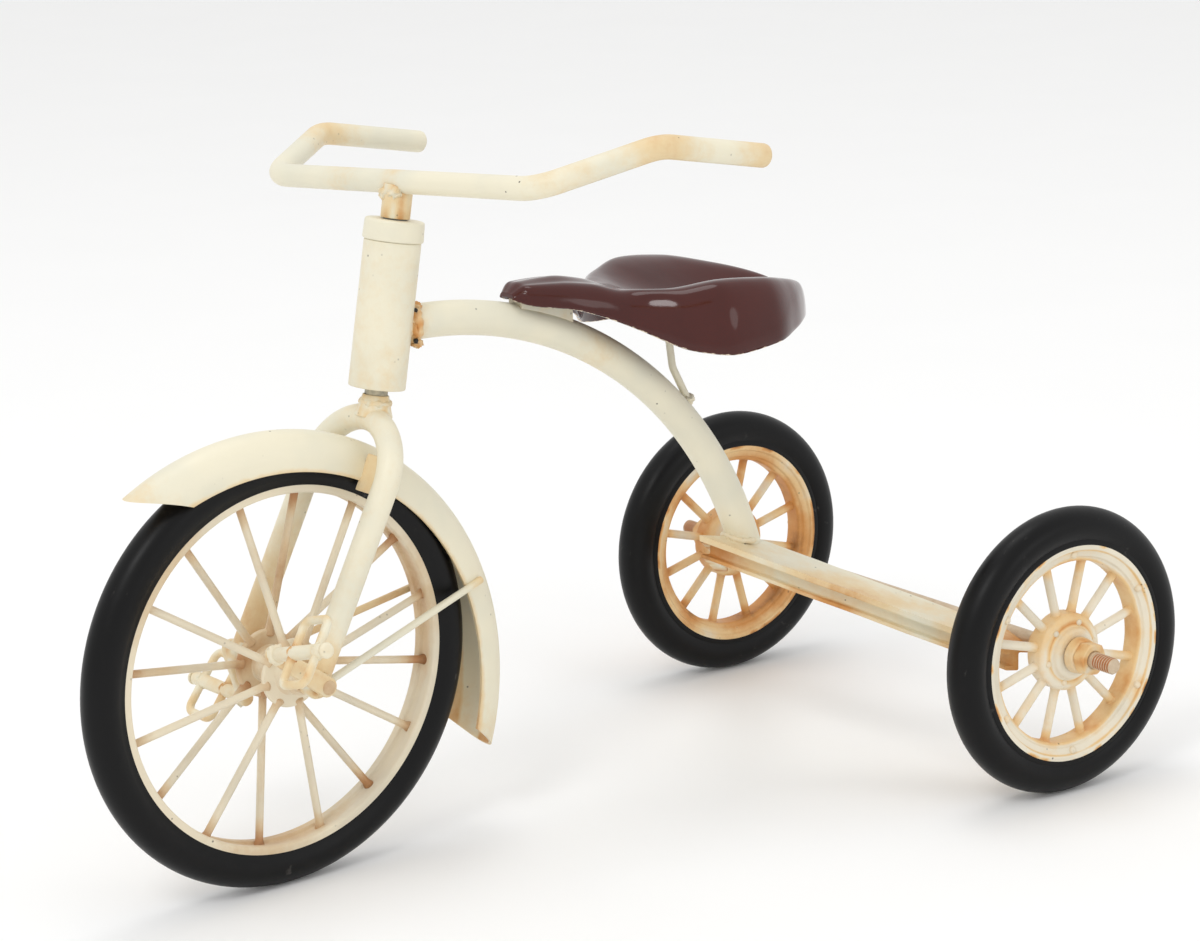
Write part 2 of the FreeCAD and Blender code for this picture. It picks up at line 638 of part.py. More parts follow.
# weld bead round the steerer on top of the arch
bead = doc.addObject("Part::Cone", "crown_weld_cone")
bead.Radius1, bead.Radius2, bead.Height = 4.4, 2.95, 5.0
bead.Placement = along(tuple(FOOT - AXIS * 6.6), tuple(AXIS))
cw = cut("crown_weld", bead, fsw, st_tool)
cw.Placement = STEER
node("crown_weld", cw)

# stem sleeve, its weld and the handlebar
bh, br = D["bar_half"], D["bar_reach"]
shoulder, end = (D["bar_shoulder_aft"], D["bar_shoulder_up"]), (D["bar_end_aft"], D["bar_end_up"])
bar = swept("handlebar_tube", [
    bar_pt(br, *end), bar_pt(br, *shoulder), bar_pt(bh, 0, 0),
    bar_pt(-bh, 0, 0), bar_pt(-br, *shoulder), bar_pt(-br, *end)], D["bar_bend"], "bar_rad", STEER)
node("handlebar", bar)
stem_raw = turned("stem_raw", [
    ((hl + ch + D["head_gap"], "head_len + collar_high + head_gap"), q("steerer_rad")),
    (q("steerer_over", 0.1), q("steerer_rad")), (q("steerer_over", 0.1), q("stem_rad")),
    ((hl + ch + D["head_gap"], "head_len + collar_high + head_gap"), q("stem_rad"))], head_pl)
stem = cut("stem_sleeve_cut", stem_raw, bar_tool)
stem.Placement = STEER
node("stem_sleeve", stem)

# ---------------------------------------------------------------- the fender
fc = V3(*W(0, D["fender_aft"], D["fender_up"]))
fr, fw, fd, ft = D["fender_ring"], D["fender_half"], D["fender_deep"], D["fender_skin"]


def dome(shrink):
    pts = []
    for i in range(0, 13):
        a = pi * i / 12.0
        pts.append(V3((fw - shrink) * cos(a), fr - fd + (fd - shrink) * sin(a) ** 0.85 if i not in
                      (0, 12) else fr - fd, 0))
    return pts


def fender_point(u, r, deg):
    a = radians(deg)
    return fc + V3(u, r * cos(a), r * sin(a))


F0, F1 = D["fender_back"], D["fender_front"]
outer, inner = dome(0.0), dome(ft)
co, ci = Part.BSplineCurve(), Part.BSplineCurve()
co.interpolate(Points=[fender_point(p.x, p.y, F0) for p in outer])
ci.interpolate(Points=[fender_point(p.x, p.y, F0) for p in reversed(inner)])
po = [fender_point(p.x, p.y, F0) for p in outer]
pi_ = [fender_point(p.x, p.y, F0) for p in reversed(inner)]
sec = doc.addObject("Part::Feature", "fender_section")
sec.Shape = Part.Face(Part.Wire([co.toShape(), Part.LineSegment(po[-1], pi_[0]).toShape(),
                                 ci.toShape(), Part.LineSegment(pi_[-1], po[0]).toShape()]))
rv = doc.addObject("Part::Revolution", "fender_turn")
rv.Source = sec
rv.Axis = V3(1, 0, 0)
rv.Base = fc
rv.Angle = F1 - F0
rv.Solid = False
# slanting cuts: long taper at the front tip, short point at the rear
tip = [fender_point(0, fr + 1.0, F1 - 0.2), fender_point(0, fr - fd - 2, F1 - 12.0),
       fender_point(0, fr - fd - 6, F1 + 14), fender_point(0, fr + 4, F1 + 14)]
t1 = doc.addObject("Part::Feature", "fender_tip_tool")
t1.Shape = Part.Face(Part.makePolygon([p - V3(20, 0, 0) for p in tip + [tip[0]]])).extrude(V3(40, 0, 0))
end = [fender_point(0, fr + 1.0, F0 - 0.4), fender_point(0, fr - fd - 2, F0 + 4.5),
       fender_point(0, fr - fd - 6, F0 - 14), fender_point(0, fr + 4, F0 - 14)]
t2 = doc.addObject("Part::Feature", "fender_end_tool")
t2.Shape = Part.Face(Part.makePolygon([p - V3(20, 0, 0) for p in end + [end[0]]])).extrude(V3(40, 0, 0))
fender = cut("fender_cut", rv, t1, t2)
fender.Placement = STEER
node("fender", fender)

# tabs from the blades to the sides of the fender: flat plates in line with the blades
spot = V3(*W(0, 21.3, 41.8))
back = Rot(V3(1, 0, 0), -degrees(atan2(LEAN.y, LEAN.z)))
tabs = []
for side in (1, -1):
    b = box("fender_tab_%s" % ("left" if side > 0 else "right"), "8.6", "tab_thick", "tab_tall", Pl())
    corner = V3(5.2 if side > 0 else -13.8, -D["tab_thick"] / 2, -D["tab_tall"] / 2)
    b.Placement = Pl(spot + back.multVec(corner), back)
    tabs.append(b)
tabs_all = fuse("fender_tabs_raw", *tabs)
fill = doc.addObject("Part::Feature", "tab_fender_tool")
fo = Part.Face(Part.Wire([co.toShape(), Part.LineSegment(po[-1], po[0]).toShape()]))
fill.Shape = fo.revolve(fc, V3(1, 0, 0), F1 - F0)
tabs_cut = cut("fender_tabs", tabs_all, fsw, fill)
tabs_cut.Placement = STEER
node("fender_tabs", tabs_cut)

for side, word in ((1, "left"), (-1, "right")):
    s = rod_between("fender_stay_raw_" + word, W(side * 13.8, 1.5, -1.6), W(side * 5.4, 52.6, 11.0),
                    "stay_rad")
    o = cut("fender_stay_cut_" + word, s, fill, ends_tool, fsw)
    o.Placement = STEER
    node("fender_stay_" + word, o)

# ---------------------------------------------------------------- front wheel
wheel_pl = STEER.multiply(Pl(CENTRE, Rot()))
tor = doc.addObject("Part::Torus", "front_tyre_ring")
bind(tor, "Radius1", "front_tyre_mid")
bind(tor, "Radius2", "front_tyre_sec")
tor.Placement = along((0, 0, 0), (1, 0, 0))
tc = cyl("front_tyre_seat", "front_rim_out", "20", along((-10, 0, 0), (1, 0, 0)))
ty = cut("front_tyre_cut", tor, tc)
ty.Placement = wheel_pl
node("front_tyre", ty)
rim_prof = [
    (q("front_rim_half", 0, -1), q("front_rim_out")), (q("front_rim_half", 0, -1), q("front_rim_in", 0.3)),
    (q("front_rim_half", -0.4, -1), q("front_rim_in")), (c(-1.5), q("front_rim_in")),
    (c(-1.1), q("front_rim_in", 0.6)), (c(1.1), q("front_rim_in", 0.6)), (c(1.5), q("front_rim_in")),
    (q("front_rim_half", -0.4), q("front_rim_in")), (q("front_rim_half"), q("front_rim_in", 0.3)),
    (q("front_rim_half"), q("front_rim_out"))]
rim_prof[2] = ((-(D["front_rim_half"] - 0.4), "-(front_rim_half - 0.4)"), q("front_rim_in"))
node("front_rim", turned("front_rim", rim_prof, wheel_pl))
fa, fhh = D["front_flange_at"], D["front_hub_half"]
half_hub = [
    (c(0), q("crank_rad")), (q("front_hub_half"), q("crank_rad")), (q("front_hub_half"), c(3.4)),
    (c(9.8), c(3.4)), (c(9.6), q("front_hub_rad")), (c(8.2), q("front_hub_rad")),
    (c(8.0), c(3.6)), (c(6.6), c(3.6)), (q("front_flange_at", 0.7), q("front_hub_rad", 0.6)),
    (q("front_flange_at", 0.6), q("front_flange_rad")), (q("front_flange_at", -0.6), q("front_flange_rad")),
    (q("front_flange_at", -0.7), q("front_hub_rad")), (c(2.4), q("front_hub_rad")),
    (c(2.2), c(3.7)), (c(0), c(3.7))]
full = half_hub[1:] + [(((-a[0]), ("-(" + a[1] + ")") if a[1] else ""), r)
                       for a, r in reversed(half_hub[1:-1])]
hub = turned("front_hub", full, wheel_pl)
node("front_hub", hub)
for side, word, ph in ((1, "left", D["front_phase"]), (-1, "right", D["front_phase"] + 22.3)):
    rods = []
    for k in range(8):
        a = radians(ph + 45.0 * k)
        r0, r1 = 6.6, D["front_rim_in"] + 0.9
        rods.append(rod_between("spoke_%s_%d" % (word, k),
                                (side * fa * 1.0, r0 * cos(a), r0 * sin(a)),
                                (side * 0.45, r1 * cos(a), r1 * sin(a)), "front_spoke_rad"))
    allr = fuse("spokes_raw_" + word, *rods)
    rt = turned("spoke_rim_tool_" + word, rim_prof, Pl())
    ht2 = turned("spoke_hub_tool_" + word, full, Pl())
    o = cut("front_spokes_cut_" + word, allr, rt, ht2)
    o.Placement = wheel_pl
    node("front_spokes_" + word, o)

ci0, ct, cw_ = D["crank_in"], D["crank_thick"], D["crank_width"]
node("crank_axle", turned("crank_axle", [
    (q("crank_in", 0, -1), c(0)), (q("crank_in", 0, -1), q("crank_rad")),
    (q("crank_in"), q("crank_rad")), (q("crank_in"), c(0))], wheel_pl))
for side, word in ((1, "left"), (-1, "right")):
    deg, th = D["crank_%s_at" % word], D["throw_" + word]
    a = radians(deg)
    tip_c = V3(0, th * cos(a), th * sin(a))
    x0 = ci0 if side > 0 else -(ci0 + ct)
    c1 = cyl("crank_boss_" + word, "crank_width / 2 + 0.5", "crank_thick", along((x0, 0, 0), (1, 0, 0)))
    c2 = cyl("crank_tip_" + word, "crank_width / 2", "crank_thick",
             along((x0, tip_c.y, tip_c.z), (1, 0, 0)))
    web = box("crank_web_" + word, "crank_thick", "throw_" + word, "crank_width",
              Pl(V3(x0, 0, 0), Rot(V3(1, 0, 0), deg)).multiply(Pl(V3(0, 0, -cw_ / 2), Rot())))
    arm = fuse("crank_arm_all_" + word, c1, c2, web)
    arm.Placement = wheel_pl
    node("crank_arm_" + word, arm)
    # pedal pin: bent up on the left
    t = radians(D["pin_tilt"]) if side > 0 else 0.0
    pdir = V3(side * cos(t), 0, sin(t))
    face = V3(side * (ci0 + ct), tip_c.y, tip_c.z)
    ppl = wheel_pl.multiply(along_x(tuple(face), tuple(pdir)))
    pl_, pr = D["pin_len"], D["pin_rad"]
    # the pin starts a little inside a flat on the arm, so the tilted one is trimmed by the face
    pin = turned("pedal_pin_raw_" + word, [
        (c(-0.6), c(0)), (c(-0.6), q("pin_rad")), (q("pin_len"), q("pin_rad")),
        (q("pin_len"), c(1.75)), (q("pin_len", 1.1), c(1.45)), (q("pin_len", 1.1), c(0))],
        along_x(tuple(face), tuple(pdir)))
    fb = doc.addObject("Part::Box", "pin_face_tool_" + word)
    fb.Length, fb.Width, fb.Height = 10, 60, 60
    fb.Placement = Pl(V3(face.x - 10 if side > 0 else face.x, -30, -30), Rot())
    pc = cut("pedal_pin_cut_" + word, pin, fb)
    pc.Placement = wheel_pl
    node("pedal_pin_" + word, pc)
    node("pedal_tube_" + word, turned("pedal_tube_" + word, [
        (c(0.9), q("spindle_bore")), ((0.9 + D["spindle_len"], "0.9 + spindle_len"), q("spindle_bore")),
        ((0.9 + D["spindle_len"], "0.9 + spindle_len"), q("spindle_rad")), (c(0.9), q("spindle_rad"))],
        ppl))
    # wire loop: long axis leans back, short axis along the pin
    lean = radians(D["pedal_lean"])
    lvec = V3(0, sin(lean), cos(lean))
    lvec = (lvec - pdir * lvec.dot(pdir)).normalize()
    ph_ = D["pedal_half"]
    cs = [face + pdir * D["pedal_in"] + lvec * ph_, face + pdir * D["pedal_out"] + lvec * ph_,
          face + pdir * D["pedal_out"] - lvec * ph_, face + pdir * D["pedal_in"] - lvec * ph_]
    loop = swept("pedal_loop_raw_" + word, [tuple(p) for p in cs], 2.0, "pedal_wire", None, True)
    tt = cyl("pedal_loop_tool_" + word, "spindle_rad", "40",
             along(tuple(face - pdir * 5), tuple(pdir)))
    lc = cut("pedal_loop_cut_" + word, loop, tt)
    lc.Placement = wheel_pl
    node("pedal_loop_" + word, lc)

# ---------------------------------------------------------------- rear wheels
for side, word in ((1, "left"), (-1, "right")):
    wpl = along_x((side * half_track, REAR_Y, REAR_Z), (side, 0, 0))
    tor = doc.addObject("Part::Torus", "rear_tyre_ring_" + word)
    bind(tor, "Radius1", "rear_tyre_mid")
    bind(tor, "Radius2", "rear_tyre_sec")
    tor.Placement = along((0, 0, 0), (1, 0, 0))
    tc = cyl("rear_tyre_seat_" + word, "rear_rim_out", "20", along((-10, 0, 0), (1, 0, 0)))
    ty = cut("rear_tyre_cut_" + word, tor, tc)
    ty.Placement = wpl
    node("rear_tyre_" + word, ty)
    h = D["rear_rim_half"]
    ring_prof = [
        ((-h, "-rear_rim_half"), q("rear_rim_out")), ((-h, "-rear_rim_half"), q("rear_rim_out", -1.0)),
        ((-h + 0.7, "-(rear_rim_half - 0.7)"), q("rear_rim_out", -1.2)),
        ((-h + 0.9, "-(rear_rim_half - 0.9)"), q("rear_rim_in", 0.2)), ((-h + 1.3, "-(rear_rim_half - 1.3)"), q("rear_rim_in")),
        ((h - 1.3, "rear_rim_half - 1.3"), q("rear_rim_in")), ((h - 0.9, "rear_rim_half - 0.9"), q("rear_rim_in", 0.2)),
        ((h - 0.7, "rear_rim_half - 0.7"), q("rear_rim_out", -1.2)), ((h, "rear_rim_half"), q("rear_rim_out", -1.0)),
        ((h, "rear_rim_half"), q("rear_rim_out"))]
    rr = turned("rear_rim_ring_" + word, ring_prof, Pl())
    hubp = [
        (q("rear_hub_in"), q("axle_play")), (q("rear_hub_out"), q("axle_play")),
        (q("rear_hub_out"), c(4.6)), (c(3.2), c(4.9)), (c(2.9), c(8.6)), (c(2.2), q("rear_hub_rad")),
        (c(-2.2), q("rear_hub_rad")), (c(-2.9), c(8.6)), (c(-3.2), c(4.9)), (q("rear_hub_in"), c(4.6))]
    hb = turned("rear_hub_core_" + word, hubp, Pl())
    rods = []
    for k in range(12):
        a = radians(15.0 + 30.0 * k)
        rods.append(rod_between("rear_spoke_%s_%d" % (word, k),
                                (0, 8.0 * cos(a), 8.0 * sin(a)),
                                (0, 23.2 * cos(a), 23.2 * sin(a)), "rear_spoke_rad"))
    cast = fuse("rear_wheel_cast_" + word, rr, hb, *rods)
    cast.Placement = wpl
    node("rear_wheel_" + word, cast)
    heads = []
    face_u = h - 0.8
    for k in range(6):
        a = radians(30.0 + 60.0 * k)
        o = doc.addObject("Part::Sphere", "rivet_%s_%d" % (word, k))
        bind(o, "Radius", "rivet_rad")
        o.Placement = Pl(V3(face_u, D["rivet_ring"] * cos(a), D["rivet_ring"] * sin(a)), Rot())
        heads.append(o)
    hr = fuse("rivets_raw_" + word, *heads)
    rr2 = turned("rivet_rim_tool_" + word, ring_prof, Pl())
    slab = doc.addObject("Part::Box", "rivet_slab_" + word)
    slab.Length, slab.Width, slab.Height = 30, 90, 90
    slab.Placement = Pl(V3(face_u - 30.4, -45, -45), Rot())
    o = cut("rear_rivets_cut_" + word, hr, rr2, slab)
    o.Placement = wpl
    node("rear_rivets_" + word, o)

# ------------------------------------------------------------- build and save
doc.recompute()
bad = []
for o in doc.Objects:
    st = getattr(o, "State", [])
    if "Invalid" in st or "Error" in st:
        bad.append(o.Name)
if bad:
    raise RuntimeError("features in error: " + ", ".join(bad))
for name, obj in NODES:
    obj.Label = name
    shp = obj.Shape
    if shp.isNull() or not shp.isValid() or shp.Volume <= 0:
        raise RuntimeError("bad shape: " + name)
    shp.exportStep("parts/%s.step" % name)
    b = shp.BoundBox
    print("%-24s solids %2d vol %9.1f  x %7.2f %7.2f  y %7.2f %7.2f  z %7.2f %7.2f" % (
        name, len(shp.Solids), shp.Volume, b.XMin, b.XMax, b.YMin, b.YMax, b.ZMin, b.ZMax))
box_all = NODES[0][1].Shape.BoundBox
for name, obj in NODES:
    box_all.add(obj.Shape.BoundBox)
print("nodes", len(NODES), "box", box_all)
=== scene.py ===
import json
from math import atan2, cos, hypot, pi, radians, sin, sqrt, tan

import bmesh
import bpy
from mathutils import Matrix, Vector, noise


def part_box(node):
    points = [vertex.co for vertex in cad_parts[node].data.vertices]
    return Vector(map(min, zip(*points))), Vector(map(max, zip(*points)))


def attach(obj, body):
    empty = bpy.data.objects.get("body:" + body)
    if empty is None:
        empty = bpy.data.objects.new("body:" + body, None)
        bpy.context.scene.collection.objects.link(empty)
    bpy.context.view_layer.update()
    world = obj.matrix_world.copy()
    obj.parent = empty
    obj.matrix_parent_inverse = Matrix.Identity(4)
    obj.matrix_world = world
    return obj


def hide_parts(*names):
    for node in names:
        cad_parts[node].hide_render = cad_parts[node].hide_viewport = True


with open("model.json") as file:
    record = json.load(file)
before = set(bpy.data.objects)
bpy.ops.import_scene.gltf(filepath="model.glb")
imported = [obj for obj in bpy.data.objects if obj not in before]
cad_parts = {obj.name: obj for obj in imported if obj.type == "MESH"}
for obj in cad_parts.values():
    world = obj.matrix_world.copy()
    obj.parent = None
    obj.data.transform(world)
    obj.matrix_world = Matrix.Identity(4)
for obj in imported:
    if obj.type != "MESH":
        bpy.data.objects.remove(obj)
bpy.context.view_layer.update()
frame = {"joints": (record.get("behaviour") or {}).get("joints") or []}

# Small metal tricycle.  Every piece is built in millimetres in a local frame,
# then carried to its place and scaled to metres.  Front faces -Y, left is +X.
MM = 0.001

# ------------------------------------------------------------ places, from the frame
JOINT = {j["name"]: j for j in frame["joints"]}
STEER_AXIS = Vector(JOINT["steering_turn"]["axis"]).normalized()
STEER_FOOT = Vector(JOINT["steering_turn"]["pos_m"]) / MM
SPIN_AXIS = Vector(JOINT["front_wheel_spin"]["axis"]).normalized()
HUB_BUILT = Vector(JOINT["front_wheel_spin"]["pos_m"]) / MM
RAKE = atan2(STEER_AXIS.y, STEER_AXIS.z)
# the bars are built turned: the angle comes from the wheel's own axis
ACROSS = Vector((1, 0, 0))
STEER_TURN = atan2(STEER_AXIS.dot(ACROSS.cross(SPIN_AXIS)), ACROSS.dot(SPIN_AXIS))
STEER = (Matrix.Translation(STEER_FOOT) @ Matrix.Rotation(STEER_TURN, 4, STEER_AXIS)
         @ Matrix.Translation(-STEER_FOOT))
HUB = STEER.inverted() @ HUB_BUILT          # wheel centre with the wheel straight ahead
WHEEL = STEER @ Matrix.Translation(HUB)
REAR = {s: Vector(JOINT["rear_%s_spin" % s]["pos_m"]) / MM for s in ("left", "right")}
SIDES = (("left", 1), ("right", -1))
IDENT = Matrix.Identity(4)
SCENE = bpy.context.scene


def carry_x(point, direction, base=IDENT):
    """Matrix that lays local +X along a direction through a point."""
    q = Vector((1, 0, 0)).rotation_difference(Vector(direction))
    return base @ Matrix.Translation(Vector(point)) @ q.to_matrix().to_4x4()


# ------------------------------------------------------------------- mesh helpers
def make(name, verts, faces, body, mat, nodes=(), slot=None, place=IDENT, sharp=32,
         patina=0.0, subdiv=0):
    """One piece: mesh in metres, smooth with sharp edges kept, wear and painted light and shade set per
    point.
    """
    me = bpy.data.meshes.new(name)
    me.from_pydata([tuple(v) for v in verts], [], faces)
    me.validate()
    bm = bmesh.new()
    bm.from_mesh(me)
    bmesh.ops.remove_doubles(bm, verts=bm.verts, dist=1e-4)
    bmesh.ops.recalc_face_normals(bm, faces=bm.faces)
    for f in bm.faces:
        f.smooth = True
    for e in bm.edges:
        if len(e.link_faces) == 2 and e.calc_face_angle(0) > radians(sharp):
            e.smooth = False
    bm.to_mesh(me)
    bm.free()
    level = patina if callable(patina) else (lambda p: patina)
    # per point: orange-brown patina, painted shade (raised values) and painted light (lowered values)
    patina_and_shade_layer = me.attributes.new("patina", "FLOAT", "POINT")
    for i, v in enumerate(me.vertices):
        patina_and_shade_layer.data[i].value = max(0.0, min(1.0, level(v.co)))
    me.transform(Matrix.Scale(MM, 4) @ place)
    me.materials.append(mat)
    ob = bpy.data.objects.new(name, me)
    SCENE.collection.objects.link(ob)
    if subdiv:
        mod = ob.modifiers.new("round", "SUBSURF")
        mod.levels = mod.render_levels = subdiv
    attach(ob, body)
    if nodes:
        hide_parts(*nodes)
    return ob


def between(rings, m, closed=False, caps=True, flip=False):
    """Faces joining rings of m points each, with a cap on both ends unless told not to."""
    faces = []
    for i in range(rings if closed else rings - 1):
        a, b = i * m, (i + 1) % rings * m
        for k in range(m):
            k2 = (k + 1) % m
            faces.append([a + k, a + k2, b + k2, b + k])
    if caps and not closed:
        first, last = list(range(m)), [(rings - 1) * m + k for k in range(m)]
        faces += [first, last[::-1]] if flip else [first[::-1], last]
    return faces


def shell_faces(rows, cols):
    """Faces of a thin shell: an outer grid of points, an inner one, and the edge between them."""
    m = cols + 1
    off = (rows + 1) * m
    faces = []
    for i in range(rows):
        for k in range(cols):
            a, b = i * m + k, (i + 1) * m + k
            faces.append([a, a + 1, b + 1, b])
            faces.append([off + a, off + b, off + b + 1, off + a + 1])
        for k in (0, cols):
            a, b = i * m + k, (i + 1) * m + k
            faces.append([a, b, off + b, off + a] if k == 0 else [a, off + a, off + b, b])
    for i in (0, rows):
        for k in range(cols):
            a, b = i * m + k, i * m + k + 1
            faces.append([a, off + a, off + b, b] if i == 0 else [a, b, off + b, off + a])
    return faces


def cream(name, shape, body, node, place=IDENT, **more):
    """A piece in the main ivory paint that stands in for one node."""
    make(name, *shape, body, PAINT, (node,), "cream", place, **more)


def bumpy(p, size, amount, seed=0.0):
    """Smooth seeded noise at a point, about +-amount."""
    return amount * noise.noise(Vector(p) / size + Vector((seed, seed * 1.7, -seed)))


def lathe(profile, segs=96, closed=True, wobble=0.0, seed=0.0):
    """Turn (along, radius) points about local X.  closed joins last to first."""
    verts, faces = [], []
    n = len(profile)
    for k in range(segs):
        a = 2 * pi * k / segs
        for u, r in profile:
            rr = r
            if wobble and r > 0:
                rr += bumpy((u, r * cos(a), r * sin(a)), 2.2, wobble, seed)
            verts.append(polar(u, rr, a))
    last = n if closed else n - 1
    for k in range(segs):
        k2 = (k + 1) % segs
        for i in range(last):
            j = (i + 1) % n
            quad = [k * n + i, k2 * n + i, k2 * n + j, k * n + j]
            if profile[i][1] == 0 and profile[j][1] == 0:
                continue
            if profile[i][1] == 0:
                quad = [k * n + i, k2 * n + j, k * n + j]
            elif profile[j][1] == 0:
                quad = [k * n + i, k2 * n + i, k * n + j]
            faces.append(quad)
    return verts, faces


def rounded(profile, bevel=0.25, steps=3, closed=True):
    """Round the corners of a profile so its edges catch the light."""
    pts = [Vector((u, r, 0)) for u, r in profile]
    out = []
    n = len(pts)
    for i, p in enumerate(pts):
        if not closed and i in (0, n - 1):
            out.append((p.x, p.y))
            continue
        a, b = pts[i - 1] - p, pts[(i + 1) % n] - p
        if a.length < 1e-6 or b.length < 1e-6 or p.y == 0:
            out.append((p.x, p.y))
            continue
        t = min(bevel, a.length * 0.45, b.length * 0.45)
        p0, p2 = p + a.normalized() * t, p + b.normalized() * t
        for s in range(steps + 1):
            f = s / steps
            q = p0 * (1 - f) ** 2 + p * 2 * f * (1 - f) + p2 * f ** 2
            out.append((q.x, q.y))
    return out


def fillet(points, bend, step=0.8):
    """Dense centre line through corner points with round bends."""
    pts = [Vector(p) for p in points]
    out = [pts[0]]
    for i in range(1, len(pts) - 1):
        r = bend[i - 1] if isinstance(bend, (list, tuple)) else bend
        p0, p1, p2 = pts[i - 1], pts[i], pts[i + 1]
        u, w = (p0 - p1).normalized(), (p2 - p1).normalized()
        half = u.angle(w) / 2
        ctr = p1 + (u + w).normalized() * (r / sin(half))
        t = r / tan(half)
        a, b = p1 + u * t - ctr, p1 + w * t - ctr
        turn = a.angle(b)
        steps = max(4, int(turn * r / step))
        normal = a.cross(b).normalized()
        out += [ctr + Matrix.Rotation(turn * s / steps, 3, normal) @ a for s in range(steps + 1)]
    out.append(pts[-1])
    dense = [out[0]]
    for p in out[1:]:
        gap = (p - dense[-1]).length
        parts = max(1, int(gap / (step * 2.5)))
        start = dense[-1]
        dense += [start.lerp(p, s / parts) for s in range(1, parts + 1)]
    return dense


def sweep(path, radius, sides=28, closed=False, ends="round", lumps=0.0, seed=0.0):
    """Round tube along a path.  radius is a number or a function of 0..1 along it."""
    path = [Vector(p) for p in path]
    n = len(path)
    lens = [0.0]
    for i in range(1, n):
        lens.append(lens[-1] + (path[i] - path[i - 1]).length)
    total = lens[-1] + ((path[0] - path[-1]).length if closed else 0)
    rad = radius if callable(radius) else (lambda t: radius)
    tang = []
    for i in range(n):
        if closed:
            t = path[(i + 1) % n] - path[i - 1]
        else:
            t = path[min(i + 1, n - 1)] - path[max(i - 1, 0)]
        tang.append(t.normalized())
    side = tang[0].orthogonal().normalized()
    frames = []
    for i in range(n):
        if i:
            side = (tang[i - 1].rotation_difference(tang[i])) @ side
            side = (side - tang[i] * side.dot(tang[i])).normalized()
        frames.append((side.copy(), tang[i].cross(side)))
    if closed:   # share the closing twist out along the loop
        back = tang[-1].rotation_difference(tang[0]) @ frames[-1][0]
        twist = atan2(tang[0].dot(back.cross(frames[0][0])), back.dot(frames[0][0]))
        for i in range(n):
            m = Matrix.Rotation(twist * lens[i] / total, 3, tang[i])
            frames[i] = (m @ frames[i][0], m @ frames[i][1])
    rings = [(path[i], frames[i], rad(lens[i] / total)) for i in range(n)]
    if not closed and ends == "round":
        domes = []
        for i, way in ((0, -1), (-1, 1)):
            r = rings[i][2]
            domes.append([(path[i] + tang[i] * way * r * 0.55 * sin(a) / sin(2 * pi / 5),
                           frames[i], r * cos(a * 1.08)) for a in (s * pi / 10 for s in range(1, 5))])
        rings = domes[0][::-1] + rings + domes[1]
    elif not closed and ends == "flat":
        b = 0.12 * rings[0][2]
        rings = ([(path[0], frames[0], rings[0][2] - b)]
                 + [(path[0] + tang[0] * b, frames[0], rings[0][2])] + rings[1:-1]
                 + [(path[-1] - tang[-1] * b, frames[-1], rings[-1][2])]
                 + [(path[-1], frames[-1], rings[-1][2] - b)])
    verts = []
    for ctr, (a, b), r in rings:
        for k in range(sides):
            t = 2 * pi * k / sides
            off = a * cos(t) + b * sin(t)
            rr = r * (1 + (bumpy(ctr + off * r, 1.1 * max(r, 0.5), lumps, seed) if lumps else 0))
            verts.append(ctr + off * rr)
    return verts, between(len(rings), sides, closed)


def merged(*pieces):
    """Several (verts, faces) sets as one."""
    verts, faces = [], []
    for v, f in pieces:
        base = len(verts)
        verts += list(v)
        faces += [[base + i for i in face] for face in f]
    return verts, faces


def moved(piece, matrix):
    return [matrix @ Vector(v) for v in piece[0]], piece[1]


def plank(section, x0, x1, steps):
    """A bar along X with a closed (y, z) section."""
    verts = [Vector((x0 + (x1 - x0) * i / steps, y, z)) for i in range(steps + 1)
             for y, z in section]
    return verts, between(steps + 1, len(section))


def blob(centre, radii, seed=0.0, rough=0.18, rings=14, segs=20):
    """Lump of weld metal: an uneven ellipsoid."""
    centre, verts = Vector(centre), []
    for i in range(rings + 1):
        th = pi * i / rings
        for k in range(segs):
            ph = 2 * pi * k / segs
            d = Vector((sin(th) * cos(ph), sin(th) * sin(ph), cos(th)))
            s = 1 + bumpy(d * 2.2, 1.0, rough * 2, seed) + bumpy(d * 6, 1.0, rough * 0.8, seed + 5)
            verts.append(centre + Vector((d.x * radii[0], d.y * radii[1], d.z * radii[2])) * s)
    return verts, between(rings + 1, segs, caps=False)


def bead(path, radius, seed=0.0, closed=True):
    """Weld bead: a rippled, uneven tube along a path."""
    n = max(24, len(path))

    def ripple(t):
        return radius * (1 + 0.22 * sin(t * n * 1.9 + seed) + 0.25 * noise.noise(
            Vector((t * n * 0.31, seed, 0.4))))
    return sweep(path, ripple, sides=12, closed=closed, lumps=0.25, seed=seed)


def circle_path(centre, normal, radius, n):
    normal = Vector(normal).normalized()
    a = normal.orthogonal().normalized()
    b = normal.cross(a)
    return [Vector(centre) + a * radius * cos(t) + b * radius * sin(t)
            for t in (2 * pi * k / n for k in range(n))]


def polar(x, r, a):
    """Point at x along the X axis, radius r and angle a around it."""
    return Vector((x, r * cos(a), r * sin(a)))


def straight(a, b, steps):
    return [a.lerp(b, k / steps) for k in range(steps + 1)]


def oblong(x0, x1, y0, y1):
    return [(x0, y0), (x1, y0), (x1, y1), (x0, y1)]


def near(p, q, reach):
    """1 at a point q, falling smoothly to 0 at distance reach."""
    d = (Vector(p) - Vector(q)).length / reach
    return max(0.0, 1 - d) ** 1.3


# --------------------------------------------------------------------- materials
def srgb(r, g, b):
    def lin(c):
        c /= 255
        return c / 12.92 if c < 0.04045 else ((c + 0.055) / 1.055) ** 2.4
    return (lin(r), lin(g), lin(b), 1)


IVORY = srgb(233, 226, 202)
IVORY_COOL = srgb(222, 218, 198)
PEACH = srgb(226, 202, 158)
ORANGE = srgb(204, 144, 78)
BROWN = srgb(112, 72, 42)
SOOT = srgb(52, 44, 38)


